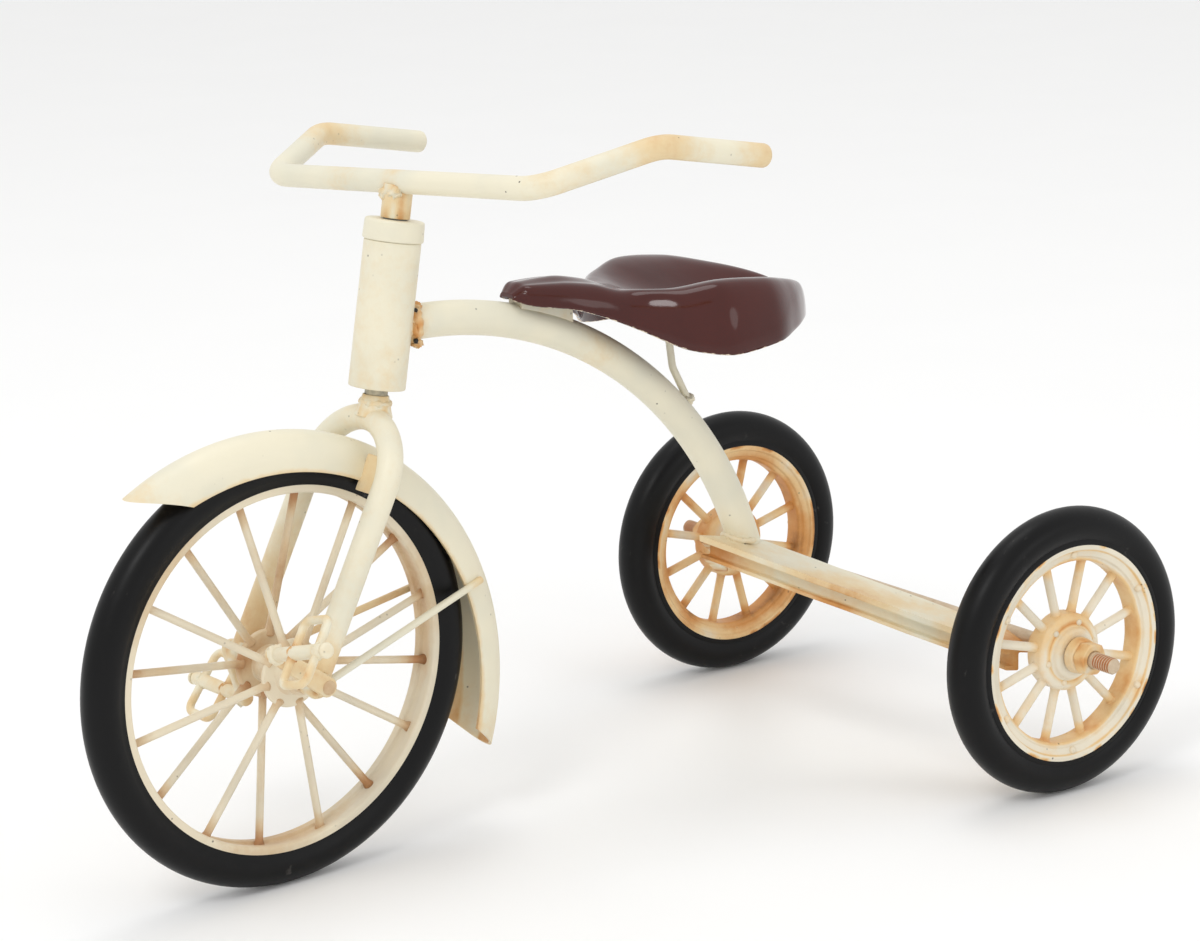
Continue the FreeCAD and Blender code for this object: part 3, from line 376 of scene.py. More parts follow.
class Nodes:
    """Short hand for building a node tree."""

    def __init__(self, name):
        self.mat = bpy.data.materials.new(name)
        self.mat.use_nodes = True
        self.t = self.mat.node_tree
        self.t.nodes.clear()
        self.out = self.node("OutputMaterial")
        self.shader = self.node("BsdfPrincipled")
        self.link(self.shader.outputs[0], self.out.inputs[0])
        coord = self.node("TexCoord")
        self.where = coord.outputs["Object"]

    def link(self, a, b):
        self.t.links.new(a, b)

    def put(self, socket, value):
        if isinstance(value, bpy.types.NodeSocket):
            self.link(value, socket)
        else:
            socket.default_value = value

    def node(self, kind, **values):
        """A new node with its inputs set by name."""
        new = self.t.nodes.new("ShaderNode" + kind)
        for name, value in values.items():
            self.put(new.inputs[name.replace("_", " ")], value)
        return new

    def field(self, kind, size_mm, offset, stretch=(1, 1, 1), **values):
        """A texture of the given grain, in the piece's own space."""
        where = self.node("Mapping", Vector=self.where, Location=offset, Scale=stretch)
        return self.node(kind, Vector=where.outputs[0], Scale=1 / (size_mm * MM), **values)

    def noise(self, size_mm, detail=4, rough=0.55, seed=0.0, stretch=(1, 1, 1)):
        return self.field("TexNoise", size_mm, (seed, seed * 0.7, -seed), stretch,
                          Detail=detail, Roughness=rough).outputs["Fac"]

    def cells(self, size_mm, seed=0.0):
        return self.field("TexVoronoi", size_mm, (seed, -seed, seed * 0.5)).outputs["Distance"]

    def attr(self, name):
        a = self.node("Attribute")
        a.attribute_name = name
        return a.outputs["Fac"]

    def math(self, op, a, b):
        m = self.node("Math")
        m.operation = op
        self.put(m.inputs[0], a)
        self.put(m.inputs[1], b)
        return m.outputs[0]

    def times(self, a, b):
        return self.math("MULTIPLY", a, b)

    def plus(self, a, b):
        return self.math("ADD", a, b)

    def sway(self, x, amount):
        """A 0..1 value turned to swing about zero."""
        return self.times(self.math("SUBTRACT", x, 0.5), amount)

    def band(self, x, lo, hi):
        """0 below lo, 1 above hi, smooth between."""
        ramp = self.node("MapRange", Value=x, From_Min=lo, From_Max=hi)
        ramp.interpolation_type = "SMOOTHSTEP"
        return ramp.outputs["Result"]

    def scale(self, x, lo, hi):
        """Stretch 0..1 to lo..hi."""
        return self.node("MapRange", Value=x, To_Min=lo, To_Max=hi).outputs["Result"]

    def mix(self, fac, a, b):
        m = self.node("Mix")
        m.data_type = "RGBA"
        self.put(m.inputs[0], fac)
        self.put(m.inputs[6], a)
        self.put(m.inputs[7], b)
        return m.outputs[2]

    def bump(self, height, depth_mm, strength=1.0, after=None):
        b = self.node("Bump", Strength=strength, Distance=depth_mm * MM, Height=height)
        if after:
            self.link(after, b.inputs["Normal"])
        return b.outputs[0]

    def finish(self, colour, rough, normal=None, **fixed):
        s = self.shader
        self.put(s.inputs["Base Color"], colour)
        self.put(s.inputs["Roughness"], rough)
        if normal:
            self.link(normal, s.inputs["Normal"])
        for k, v in fixed.items():
            s.inputs[k.replace("_", " ")].default_value = v
        return self.mat


def ivory_paint(name, base=IVORY, cool=IVORY_COOL, shade=PEACH, deep=ORANGE, edge=BROWN,
                spread=0.35, seed=0.0, chips=1.0):
    """Brushed ivory paint: mottled tint, airbrushed orange-brown patina, painted shade and painted
    light where the mesh says so, and a few dark nicks."""
    n = Nodes(name)
    tint = n.mix(n.band(n.noise(26, 3, 0.5, seed), 0.38, 0.68), base, cool)
    cloud = n.noise(7, 4, 0.6, seed + 3)
    # the mesh value brings orange-brown patina, painted shade and painted light into the ramp below
    wear_and_shade = n.plus(n.attr("patina"), n.sway(cloud, spread))
    streak = n.noise(2.4, 5, 0.65, seed + 9)
    wear_and_shade_streaked = n.plus(wear_and_shade, n.sway(streak, 0.3))
    col = n.mix(n.band(wear_and_shade_streaked, 0.10, 0.46), tint, shade)
    col = n.mix(n.band(wear_and_shade_streaked, 0.40, 0.82), col, deep)
    col = n.mix(n.times(n.band(wear_and_shade_streaked, 0.78, 1.12), 0.75), col, edge)
    # grime specks and small nicks through the paint
    speck = n.times(n.band(n.cells(2.1, seed), 0.16, 0.07),
                   n.band(n.noise(9, 2, 0.5, seed + 20), 0.56, 0.70))
    col = n.mix(n.times(speck, 0.8 * chips), col, SOOT)
    fine = n.noise(0.8, 3, 0.6, seed + 2)
    lumps = n.noise(3.2, 3, 0.5, seed + 5)
    nrm = n.bump(lumps, 0.16, 0.55)
    nrm = n.bump(fine, 0.035, 0.6, nrm)
    rough = n.scale(n.plus(n.times(cloud, 0.6), n.times(wear_and_shade, 0.4)),
                    0.34, 0.62)
    return n.finish(col, rough, nrm, Specular_IOR_Level=0.45)


def tyre_rubber(name, seed=0.0):
    n = Nodes(name)
    dust = n.band(n.noise(5, 5, 0.7, seed), 0.55, 0.78)
    scuff = n.times(n.band(n.noise(1.1, 3, 0.6, seed + 4, (1, 0.25, 0.25)), 0.64, 0.75),
                   n.band(n.noise(18, 2, 0.5, seed + 6), 0.5, 0.66))
    col = n.mix(n.times(dust, 0.35), srgb(9, 9, 10), srgb(24, 24, 24))
    col = n.mix(n.times(scuff, 0.4), col, srgb(96, 92, 88))
    nrm = n.bump(n.noise(1.6, 4, 0.6, seed + 8), 0.05, 0.5)
    rough = n.scale(n.noise(8, 4, 0.6, seed + 2), 0.26, 0.50)
    return n.finish(col, rough, nrm, Specular_IOR_Level=0.2)


def seat_enamel(name):
    n = Nodes(name)
    col = n.mix(n.noise(20, 4, 0.6), srgb(58, 20, 16), srgb(80, 30, 24))
    dull = n.times(n.band(n.noise(3, 5, 0.7, 5), 0.6, 0.75), 0.25)
    col = n.mix(dull, col, srgb(48, 22, 20))
    # the enamel has flaked off the lower edge and shows the cream under it
    flake = n.plus(n.attr("patina"), n.sway(n.noise(2.2, 5, 0.7, 2), 0.9))
    bare = n.band(flake, 0.62, 0.70)
    col = n.mix(bare, col, srgb(226, 208, 184))
    nrm = n.bump(n.noise(9, 2, 0.4, 3), 0.5, 0.45)
    nrm = n.bump(n.noise(1.8, 3, 0.5, 8), 0.04, 0.35, nrm)
    rough = n.plus(n.scale(n.noise(6, 4, 0.6, 6), 0.07, 0.18), n.times(bare, 0.4))
    return n.finish(col, rough, nrm, Specular_IOR_Level=0.25, Coat_Weight=0.25, Coat_Roughness=0.04)


def mottled_finish(name, base, dark, tint, seed=0.0, metal=0.75):
    n = Nodes(name)
    col = n.mix(n.noise(2.5, 5, 0.7, seed), base, dark)
    wear_and_shade = n.plus(n.attr("patina"), n.sway(n.noise(1.6, 4, 0.6, seed + 3), 0.7))
    col = n.mix(n.band(wear_and_shade, 0.3, 0.8), col, tint)
    nrm = n.bump(n.noise(0.7, 4, 0.6, seed + 1), 0.05, 0.6)
    return n.finish(col, n.scale(n.noise(2, 4, 0.6, seed + 7), 0.32, 0.62), nrm, Metallic=metal)


def floor_paper(name):
    n = Nodes(name)
    col = n.mix(n.noise(60, 3, 0.5), (0.96, 0.96, 0.955, 1), (0.94, 0.94, 0.935, 1))
    return n.finish(col, 0.85, n.bump(n.noise(1.2, 3, 0.6), 0.02, 0.2))


PAINT = ivory_paint("ivory_paint")
PAINT_WHEEL = ivory_paint("ivory_paint_wheel", base=srgb(232, 223, 202), cool=srgb(218, 210, 190),
                          shade=srgb(230, 198, 146), deep=srgb(210, 150, 84), seed=4.0)
PAINT_SPOKE = ivory_paint("ivory_paint_spoke", base=srgb(228, 216, 190), cool=srgb(214, 204, 182),
                          shade=srgb(212, 188, 152), deep=srgb(178, 130, 86), seed=7.0)
PAINT_BAR = ivory_paint("ivory_paint_bar", seed=11.0, chips=1.6)
RUBBER = tyre_rubber("tyre_rubber")
ENAMEL = seat_enamel("seat_enamel")
STEERER_STEEL = mottled_finish("steerer_steel", srgb(150, 152, 146), srgb(84, 84, 80),
                           srgb(196, 186, 160), 2.0)
AXLE_STEEL = mottled_finish("axle_steel", srgb(224, 208, 182), srgb(178, 150, 118),
                        srgb(176, 112, 66), 5.0, 0.35)
# near-black paint for the weld lumps below: painted shade inside the weld pits
PIT_SHADE = mottled_finish("painted_pit_shade", srgb(30, 24, 20), srgb(18, 14, 12), srgb(30, 24, 20), 1.0, 0.0)

# ------------------------------------------------------------------- dimensions
HEAD_RAD, HEAD_LEN, HEAD_BORE = 6.4, 32.8, 2.66
COLLAR_RAD, COLLAR_HIGH, HEAD_GAP = 6.85, 4.7, 0.28
STEERER_RAD, STEM_RAD = 2.6, 3.3
BAR_RAD, BAR_HALF, BAR_BEND, BAR_TILT, BAR_AT = 2.65, 48.55, 9.0, radians(5.23), 45.82
BAR_REACH, BAR_SHOULDER, BAR_END = 62.46, (23.25, 6.67), (52.73, 1.03)
FORK_RAD, FORK_HALF = 2.9, 14.2
FORK_LEAN = Vector((0, 26.74, 52.37))
END_RAD, END_HALF, END_BORE = 3.5, 2.2, 1.96
SPINE_RAD, SPINE_BEND = 4.0, 94.4
SPINE_MID = Vector((0, -39.6, 27.9))
SPINE_FROM, SPINE_TO = radians(17.6), radians(93.2)
YOKE_TOP = Vector((0, 45.8, 57.6))
YOKE_PLAN, YOKE_DROP = radians(39.5), 0.425
YOKE_WIDE, YOKE_PLATE, YOKE_DEEP, YOKE_REACH = 13.0, 1.2, 5.4, 56.4
FENDER_RING, FENDER_HALF, FENDER_DEEP, FENDER_SKIN = 64.65, 5.7, 8.44, 0.7
FENDER_MID = HUB + Vector((0, -4.2, -10.61))
HEAD = carry_x(STEER_FOOT, STEER_AXIS)
HEAD_TURNED = STEER @ HEAD


def on_head(s):
    return STEER_FOOT + STEER_AXIS * s


def spine(angle):
    return SPINE_MID + Vector((0, cos(angle), sin(angle))) * SPINE_BEND


# -------------------------------------------------------------------- the frame
def build_head():
    v = lathe(rounded(oblong(0, HEAD_LEN, HEAD_BORE, HEAD_RAD), 0.35, 4))
    cream("head_tube_shell", v, "frame", "head_tube", HEAD,
         patina=lambda p: 0.22 * max(0, 1 - p.x / 5) + 0.18 * max(0, (p.x - 27) / 6)
         + 0.55 * near(p, (14.5, 6.2, 0), 7))
    top = HEAD_LEN + COLLAR_HIGH
    v = lathe(rounded([(HEAD_LEN + 0.02, HEAD_BORE), (top, HEAD_BORE), (top, COLLAR_RAD - 0.2),
                       (HEAD_LEN + 0.02, COLLAR_RAD)], 0.6, 5))
    cream("head_collar_cap", v, "frame", "head_collar", HEAD,
         patina=lambda p: 0.35 * near(p, (top, 0, 0), 9))


def build_backbone():
    n = 90
    path = [spine(SPINE_FROM - 0.02 + (SPINE_TO - SPINE_FROM + 0.02) * k / n) for k in range(n + 1)]
    tube = sweep(path, SPINE_RAD, 40, ends="flat")
    cream("backbone_pipe", tube, "frame", "backbone_tube",
         patina=lambda p: 0.75 * near(p, spine(SPINE_TO), 11) + 0.5 * near(p, (0, -8, 124), 9)
         + 0.34 * near(p, spine(radians(60)), 16) + 0.2 * near(p, spine(SPINE_FROM), 14))
    start = spine(radians(91.3))
    ring = bead(circle_path(start, (0, 1, -0.03), SPINE_RAD + 0.15, 36), 0.85, 1.0)
    lumps = [blob(start + Vector((0, -0.9, 0)), (4.5, 1.4, 4.9), 2.0, 0.10),
             blob(start + Vector((1.8, 0.4, 4.0)), (1.6, 1.5, 1.0), 3.0),
             blob(start + Vector((2.4, 0.2, -4.2)), (1.5, 1.4, 1.1), 4.0)]
    cream("backbone_weld_bead", merged(ring, *lumps), "frame", "backbone_weld",
         sharp=70, patina=lambda p: 0.62 + 0.3 * bumpy(p, 1.5, 1))
    # two near-black lumps on the weld stand for the shade inside its pits: painted shade
    pit_shade_blobs = merged(blob(start + Vector((3.6, -0.7, 3.5)), (0.75, 0.5, 0.5), 6.0, 0.2, 8, 12),
                   blob(start + Vector((3.7, -0.9, -3.4)), (0.7, 0.5, 0.6), 7.0, 0.2, 8, 12))
    make("backbone_weld_pit_shade", *pit_shade_blobs, "frame", PIT_SHADE, (), "cream", sharp=80)


def yoke_matrix(side):
    """Local X runs out along the arm, Y across it to the back, Z up from the step plate."""
    fall = atan2(YOKE_DROP * cos(YOKE_PLAN), 1)
    run = Vector((side * cos(YOKE_PLAN) * cos(fall), sin(YOKE_PLAN) * cos(fall), -sin(fall)))
    back = Vector((-side * sin(YOKE_PLAN), cos(YOKE_PLAN), 0))
    up = run.cross(back) * side
    m = Matrix((run, back, up)).transposed().to_4x4()
    return Matrix.Translation(YOKE_TOP) @ m, run, back, up


def build_yoke():
    w, t, h = YOKE_WIDE / 2, YOKE_PLATE, YOKE_DEEP
    section = rounded([(-w, 0), (w, 0), (w, -t), (-w + 3.6, -t), (-w + 3.6, -h),
                       (-w + 0.3, -h), (-w + 0.3, -h + 1.0), (-w + 2.4, -h + 1.0),
                       (-w + 2.4, -t - 0.4), (-w, -t - 0.4)], 0.5, 3)
    for word, side in SIDES:
        place, run, back, up = yoke_matrix(side)
        verts = []
        rows = 60
        for k in range(rows + 1):
            for a, b in section:
                base = YOKE_TOP + back * a + up * b
                # each row of points starts on the middle plane and ends at the arm's cut end
                s0 = -base.x / run.x
                s1 = (side * YOKE_REACH - base.x) / run.x
                s = s0 + (s1 - s0) * k / rows
                sag = 0.12 * noise.noise(Vector((s / 14, a / 6, side)))
                verts.append(base + run * s + up * (sag if k else 0))
        faces = between(rows + 1, len(section), flip=True)
        inv = place.inverted()

        def wear_and_shade(p):
            q = inv @ Vector(p)
            fold = max(0, 1 - abs(q.y + w - 0.6) / 2.4)
            # under: painted shade on the web and lower lip beneath the step plate, strongest near the
            # apex
            under = 0.55 if q.z < -1.5 and q.y < -w + 3 else 0
            return (0.12 + 0.42 * fold * (0.5 + bumpy(p, 9, 1)) + under * max(0, 1 - q.x / 16)
                    + 0.35 * max(0, (q.x - 50) / 14) + 0.4 * max(0, 1 - abs(q.x - 30) / 24) * fold)
        make("yoke_step_" + word, verts, faces, "frame", PAINT, ("yoke_arm_" + word,), "cream",
             patina=wear_and_shade)
    foot = spine(SPINE_FROM) + Vector((0, -0.3, 1.0))
    turns = [pi * 0.95 + 1.1 * pi * k / 24 for k in range(25)]
    ring = bead([Vector((4.3 * cos(a), foot.y + 4.5 * sin(a),
                         YOKE_TOP.z + 0.35 - abs(4.3 * cos(a)) * 0.30)) for a in turns],
                0.7, 8.0, closed=False)
    make("yoke_foot_weld", *ring, "frame", PAINT, (), "cream", sharp=70,
         patina=0.25)


def thread_rod(half, rad, pitch, turns, depth):
    """Rod along X with a real helical thread on both ends."""
    segs, verts = 48, []
    start = half - pitch * turns
    stations = [0.0, start * 0.5, start - 0.02]
    fine = 10
    stations += [start + pitch * k / fine for k in range(int(turns * fine) + 1)]
    rows = [-s for s in reversed(stations[1:])] + stations
    for x in rows:
        ax = abs(x)
        for k in range(segs):
            a = 2 * pi * k / segs
            r = rad
            if ax > start:
                phase = (ax / pitch + (k / segs) * (1 if x > 0 else -1)) % 1.0
                tooth = abs(phase - 0.5) * 2
                fade = min(1, (ax - start) / pitch, (half - ax) / (0.6 * pitch) + 0.25)
                r = rad - depth * fade * (1 - tooth) ** 0.8
            if half - ax < 0.5:
                r = min(r, rad - (0.5 - (half - ax)) * 0.8)
            verts.append(polar(x, r, a))
    return verts, between(len(rows), segs)


def hex_nut(flats, high, bore, x0, side):
    """Hexagon nut along X with 30 degree chamfers on both faces."""
    segs, verts, faces = 96, [], []
    inner = flats / 2 - 0.1
    for k in range(segs):
        a = 2 * pi * k / segs
        sector = (a + pi / 6) % (pi / 3) - pi / 6
        r = min(flats / 2 / cos(sector), flats / 2 / cos(radians(27.5)))
        drop = max(0, r - inner) * tan(radians(30))
        row = [(0, bore + 0.3), (0, inner), (drop, r), (high - drop, r), (high, inner),
               (high, bore + 0.3), (high - 0.3, bore), (0.3, bore)]
        for u, rr in row:
            verts.append(polar(side * (x0 + u), rr, a))
    n = len(row)
    for k in range(segs):
        k2 = (k + 1) % segs
        for i in range(n):
            j = (i + 1) % n
            faces.append([k * n + i, k2 * n + i, k2 * n + j, k * n + j])
    return verts, faces


REAR_HALF_TRACK = abs(REAR["left"].x)
HUB_IN, HUB_OUT, WASHER_RAD, WASHER_HIGH = -5.4, 4.6, 4.4, 2.6
AXLE_RAD, AXLE_HALF, NUT_FLATS, NUT_HIGH = 2.0, 82.3, 7.0, 3.2


def build_axle():
    place = Matrix.Translation((0, REAR["left"].y, REAR["left"].z))
    make("rear_axle_rod", *thread_rod(AXLE_HALF, AXLE_RAD, 0.8, 8, 0.36), "frame", AXLE_STEEL,
         ("rear_axle",), "axle_steel", place, sharp=50,
         patina=lambda p: 0.12 + 3.0 * max(0, AXLE_RAD - hypot(p.y, p.z)) * (
             75 < abs(p.x) < AXLE_HALF - 0.6))
    for word, side in SIDES:
        turn = carry_x((0, REAR["left"].y, REAR["left"].z), (side, 0, 0))
        a0, a1 = YOKE_REACH, REAR_HALF_TRACK + HUB_IN - 0.3
        cream("axle_spacer_inner_ring_" + word, lathe(rounded(
            oblong(a0, a1, AXLE_RAD, 3.6), 0.3), 64), "frame",
             "axle_spacer_inner_" + word, turn, patina=0.6)
        b0 = REAR_HALF_TRACK + HUB_OUT + 0.3
        b1 = b0 + WASHER_HIGH
        make("axle_spacer_outer_ring_" + word, *lathe(rounded(
            [(b0, AXLE_RAD), (b1, AXLE_RAD), (b1, WASHER_RAD - 0.3), (b0, WASHER_RAD)], 0.5, 4), 72,
            wobble=0.06), "frame", PAINT_WHEEL, ("axle_spacer_outer_" + word,), "cream", turn,
            patina=lambda p: 0.35 + 0.5 * near(p, (b1, 0, 3.6), 4))
        make("axle_hexagon_nut_" + word, *hex_nut(NUT_FLATS, NUT_HIGH, AXLE_RAD, b1, 1), "frame",
             PAINT_WHEEL, ("axle_nut_" + word,), "axle_steel", turn @ Matrix.Rotation(0.35, 4, "X"),
             sharp=18, patina=lambda p: 0.5 + 0.4 * bumpy(p, 2.5, 1))


# --------------------------------------------------------------------- the seat
# along Y, half width, middle height, share of the width where the ridge is, its height, edge height
SEAT_KEYS = [
    (-15.6, 3.0, 125.5, 0.50, 125.4, 124.0), (-12.5, 6.0, 127.6, 0.50, 127.3, 122.8),
    (-4.0, 8.8, 127.8, 0.50, 127.0, 121.3), (4.0, 10.6, 126.4, 0.52, 125.8, 118.6),
    (12.0, 14.0, 123.6, 0.57, 123.6, 114.8), (20.0, 22.5, 120.2, 0.67, 123.8, 110.3),
    (30.0, 27.0, 117.2, 0.72, 125.2, 108.7), (42.0, 25.8, 115.6, 0.755, 124.2, 109.5),
    (52.0, 20.0, 115.2, 0.75, 122.0, 110.6), (60.0, 13.0, 115.4, 0.73, 119.6, 111.0),
    (65.0, 7.0, 114.8, 0.71, 117.0, 111.0), (68.0, 2.5, 113.0, 0.70, 113.0, 111.3)]
SEAT_Y0, SEAT_Y1 = SEAT_KEYS[0][0], SEAT_KEYS[-1][0]
SEAT_SKIN, TAB_HALF = 1.5, 2.6
STRUT_LINE = [(0, 28.5, 116.5), (0, 30.4, 101.5), (0, 35.2, 92.0)]
STRUT_RAD, STRUT_BEND, STRUT_FOOT = 0.9, 5.0, (0, 34.6, 93.2)


def steady(keys, y, col):
    """Smooth run through one column of a table that never swings past its neighbours."""
    n = len(keys)
    y = max(keys[0][0], min(keys[-1][0], y))
    step = [(keys[i + 1][col] - keys[i][col]) / (keys[i + 1][0] - keys[i][0]) for i in range(n - 1)]
    slope = [step[0]] + [0.0 if step[i - 1] * step[i] <= 0 else
                         2 * step[i - 1] * step[i] / (step[i - 1] + step[i])
                         for i in range(1, n - 1)] + [step[-1]]
    i = max(k for k in range(n - 1) if keys[k][0] <= y)
    h = keys[i + 1][0] - keys[i][0]
    t = (y - keys[i][0]) / h
    return (keys[i][col] * (1 + 2 * t) * (1 - t) ** 2 + slope[i] * h * t * (1 - t) ** 2
            + keys[i + 1][col] * t * t * (3 - 2 * t) + slope[i + 1] * h * t * t * (t - 1))


def seat_point(y, t):
    """Top and underside of the saddle at y, t running across from -1 to 1."""
    half, crown, share, ridge, edge = [steady(SEAT_KEYS, y, c) for c in range(1, 6)]
    x = half * sin(t * pi / 2)
    g = abs(sin(t * pi / 2))
    lift = sin(min(g / share, 1.0) * pi / 2) ** 2
    roll = max(0.0, (g - share) / (1 - share))
    z = crown + (ridge - crown) * lift - (ridge - edge) * (1 - sqrt(max(0.0, 1 - roll * roll)))
    skin = min(SEAT_SKIN, 0.35 * half)
    return Vector((x, y, z)), Vector((x * (1 - skin / half * g ** 2 * 0.9), y, z - skin * (1 - g ** 6)))


def build_seat():
    rows, cols = 84, 64
    top, low = [], []
    for i in range(rows + 1):
        # rows crowd together at the nose and the tail, where the outline turns
        y = SEAT_Y0 + (SEAT_Y1 - SEAT_Y0) * (0.5 - 0.5 * cos(pi * i / rows))
        for k in range(cols + 1):
            up_side, under = seat_point(y, -1 + 2 * k / cols)
            top.append(up_side)
            low.append(under)
    make("seat_saddle", top + low, shell_faces(rows, cols), "frame", ENAMEL, ("seat_pan",),
         "seat_brown", sharp=60,
         patina=lambda p: 0.66 * max(0, 1 - (p.z - steady(SEAT_KEYS, p.y, 5)) / 1.7), subdiv=1)
    # cream tab under the nose, from the backbone up to the pan
    y0, y1 = (corner.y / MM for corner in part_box("seat_tab"))
    tab, rows, half = [], 12, TAB_HALF
    for i in range(rows + 1):
        y = y0 + (y1 - y0) * i / rows
        z0 = SPINE_MID.z + sqrt((SPINE_BEND + SPINE_RAD) ** 2 - (y - SPINE_MID.y) ** 2) - 0.8
        z1 = seat_point(y, 0)[1].z + 0.2
        tab += [Vector((x, y, z)) for x, z in (
            (-half, z0), (half, z0), (half, max(z1, z0 + 0.1)), (half * 0.9, max(z1 + 0.2, z0 + 0.1)),
            (-half * 0.9, max(z1 + 0.2, z0 + 0.1)), (-half, max(z1, z0 + 0.1)))]
    make("seat_nose_tab", tab, between(rows + 1, 6), "frame", PAINT, ("seat_tab",), "cream",
         patina=0.2)
    wire = sweep(fillet(STRUT_LINE, STRUT_BEND, 0.5), STRUT_RAD, 20)
    cream("seat_wire_strut", merged(wire, blob(STRUT_FOOT, (1.5, 1.9, 1.3), 12.0, 0.15)), "frame",
             "seat_strut", sharp=60,
         patina=lambda p: 0.25 * near(p, (0, 34.6, 93), 5))


# ---------------------------------------------------------------- steering group
def build_steerer():
    rod = lathe(rounded([(-5.6, 0), (-5.6, STEERER_RAD), (BAR_AT - 1.4, STEERER_RAD),
                         (BAR_AT - 1.4, 0)], 0.2, 2, False), 48, False, wobble=0.05)
    make("steerer_rod", *rod, "steering", STEERER_STEEL, ("steerer",), "steerer_grey", HEAD_TURNED,
         patina=lambda p: 0.6 if p.x < -1.8 else 0.15)
    ring = bead(circle_path((-3.4, 0, 0), (1, 0, 0), STEERER_RAD + 0.35, 30), 0.75, 2.2)
    cone = lathe(rounded([(-6.6, 2.2), (-1.6, STEERER_RAD), (-1.6, STEERER_RAD + 0.3),
                          (-4.4, STEERER_RAD + 1.1), (-6.5, STEERER_RAD + 1.8)], 0.3), 48,
                 wobble=0.2, seed=3)
    cream("crown_weld_bead", merged(ring, cone), "steering", "crown_weld",
         HEAD_TURNED, sharp=70, patina=lambda p: 0.32 + bumpy(p, 1.6, 0.4))
    low, high = HEAD_LEN + COLLAR_HIGH + HEAD_GAP, BAR_AT - 0.6
    sleeve = lathe(rounded(oblong(low, high, STEERER_RAD, STEM_RAD), 0.2, 2), 56, wobble=0.05, seed=5)
    lumps = [blob((high - 2.2, -1.9, 1.7), (1.5, 1.5, 1.9), 21.0, 0.25),
             blob((high - 2.6, 2.1, 2.0), (1.1, 1.5, 1.6), 22.0, 0.25),
             blob((high - 1.6, -2.4, -1.2), (1.5, 1.2, 1.8), 23.0, 0.25)]
    cream("stem_sleeve_tube", merged(sleeve, *lumps), "steering", "stem_sleeve",
         HEAD_TURNED, sharp=60, patina=lambda p: 0.42 + bumpy(p, 2.0, 0.5))


def bar_point(x, back, up):
    tilt = Matrix.Rotation(-BAR_TILT, 3, "Y")
    return on_head(BAR_AT) + tilt @ Vector((x, back, up))


def build_handlebar():
    half = [(BAR_REACH, *BAR_END), (BAR_REACH, *BAR_SHOULDER), (BAR_HALF, 0, 0)]
    corners = [bar_point(*c) for c in half] + [bar_point(-x, y, z) for x, y, z in half[::-1]]
    first, last = corners[0] - corners[1], corners[-1] - corners[-2]
    corners[0] -= first.normalized() * 1.2
    corners[-1] -= last.normalized() * 1.2
    tube = sweep(fillet(corners, BAR_BEND, 0.7), BAR_RAD, 36)
    # where it is worn, how far from there, how much
    spots = [(corners[1], 20, 0.55), (corners[4], 20, 0.5), (corners[0], 15, 0.62),
             (bar_point(0, 0, 0), 9, 0.45), (corners[5], 8, 0.15), (bar_point(50, 5, 1), 14, 0.35),
             (bar_point(-20, 0, 0), 16, 0.28)]
    make("handlebar_pipe", *tube, "steering", PAINT_BAR, ("handlebar",), "cream", STEER,
         patina=lambda p: sum(k * near(p, q, r) for q, r, k in spots))


def fork_point(u, s):
    return HUB + Vector((u, 0, 0)) + FORK_LEAN.normalized() * s


def fork_path(foot=0.0, step=0.9):
    length = FORK_LEAN.length
    pts = [fork_point(FORK_HALF, foot + (length - FORK_HALF - foot) * k / 40) for k in range(40)]
    arc = int(pi * FORK_HALF / step)
    for k in range(arc + 1):
        a = pi * k / arc
        pts.append(fork_point(FORK_HALF * cos(a), length - FORK_HALF + FORK_HALF * sin(a)))
    pts += [fork_point(-FORK_HALF, length - FORK_HALF - (length - FORK_HALF - foot) * k / 40)
            for k in range(1, 41)]
    return pts


def build_fork():
    tube = sweep(fork_path(2.2), FORK_RAD, 36)
    top = fork_point(0, FORK_LEAN.length)
    # the wide patch over the right, far blade is painted shade
    cream("fork_bent_tube", tube, "steering", "fork_tube", STEER,
         patina=lambda p: 0.25 * near(p, top, 9) + 0.5 * near(p, fork_point(FORK_HALF, 4), 9)
         + 0.75 * near(p, fork_point(-FORK_HALF, 4), 40) * 0.6 + 0.12)
    for word, side in SIDES:
        turn = WHEEL @ carry_x((0, 0, 0), (side, 0, 0))
        near_face, far_face = FORK_HALF - END_HALF, FORK_HALF + END_HALF
        ring = lathe(rounded([(near_face, END_BORE), (far_face, END_BORE), (far_face, END_RAD - 0.4),
                              (far_face - 1.0, END_RAD), (near_face + 1.0, END_RAD),
                              (near_face, END_RAD - 0.4)], 0.5, 3), 56, wobble=0.16, seed=side)
        lump = blob((FORK_HALF + 0.2, 1.2, 2.5), (2.6, 1.8, 2.0), 30.0 + side, 0.2)
        lump2 = blob((FORK_HALF - 0.1, 2.3, 0.3), (2.2, 1.5, 1.8), 33.0 + side, 0.22)
        cream("fork_end_boss_" + word, merged(ring, lump, lump2), "steering",
             "fork_end_" + word, turn, sharp=65,
             patina=lambda p: 0.35 + bumpy(p, 2.2, 0.5))


# -------------------------------------------------------------------- mudguard
FENDER_FROM, FENDER_TO = radians(-18.5), radians(120.6)
TIP_CUT, TAIL_CUT = radians(10.5), radians(4.2)


def fender_point(u, r, angle):
    return FENDER_MID + polar(u, r, angle)


def fender_shape(f, shrink):
    """Point across the dome: f runs 0..1 from the left edge to the right edge."""
    a = pi * f
    base = FENDER_RING - FENDER_DEEP
    rise = (FENDER_DEEP - shrink) * (max(0.0, sin(a)) ** 0.85)
    return (FENDER_HALF - shrink) * cos(a), base + rise


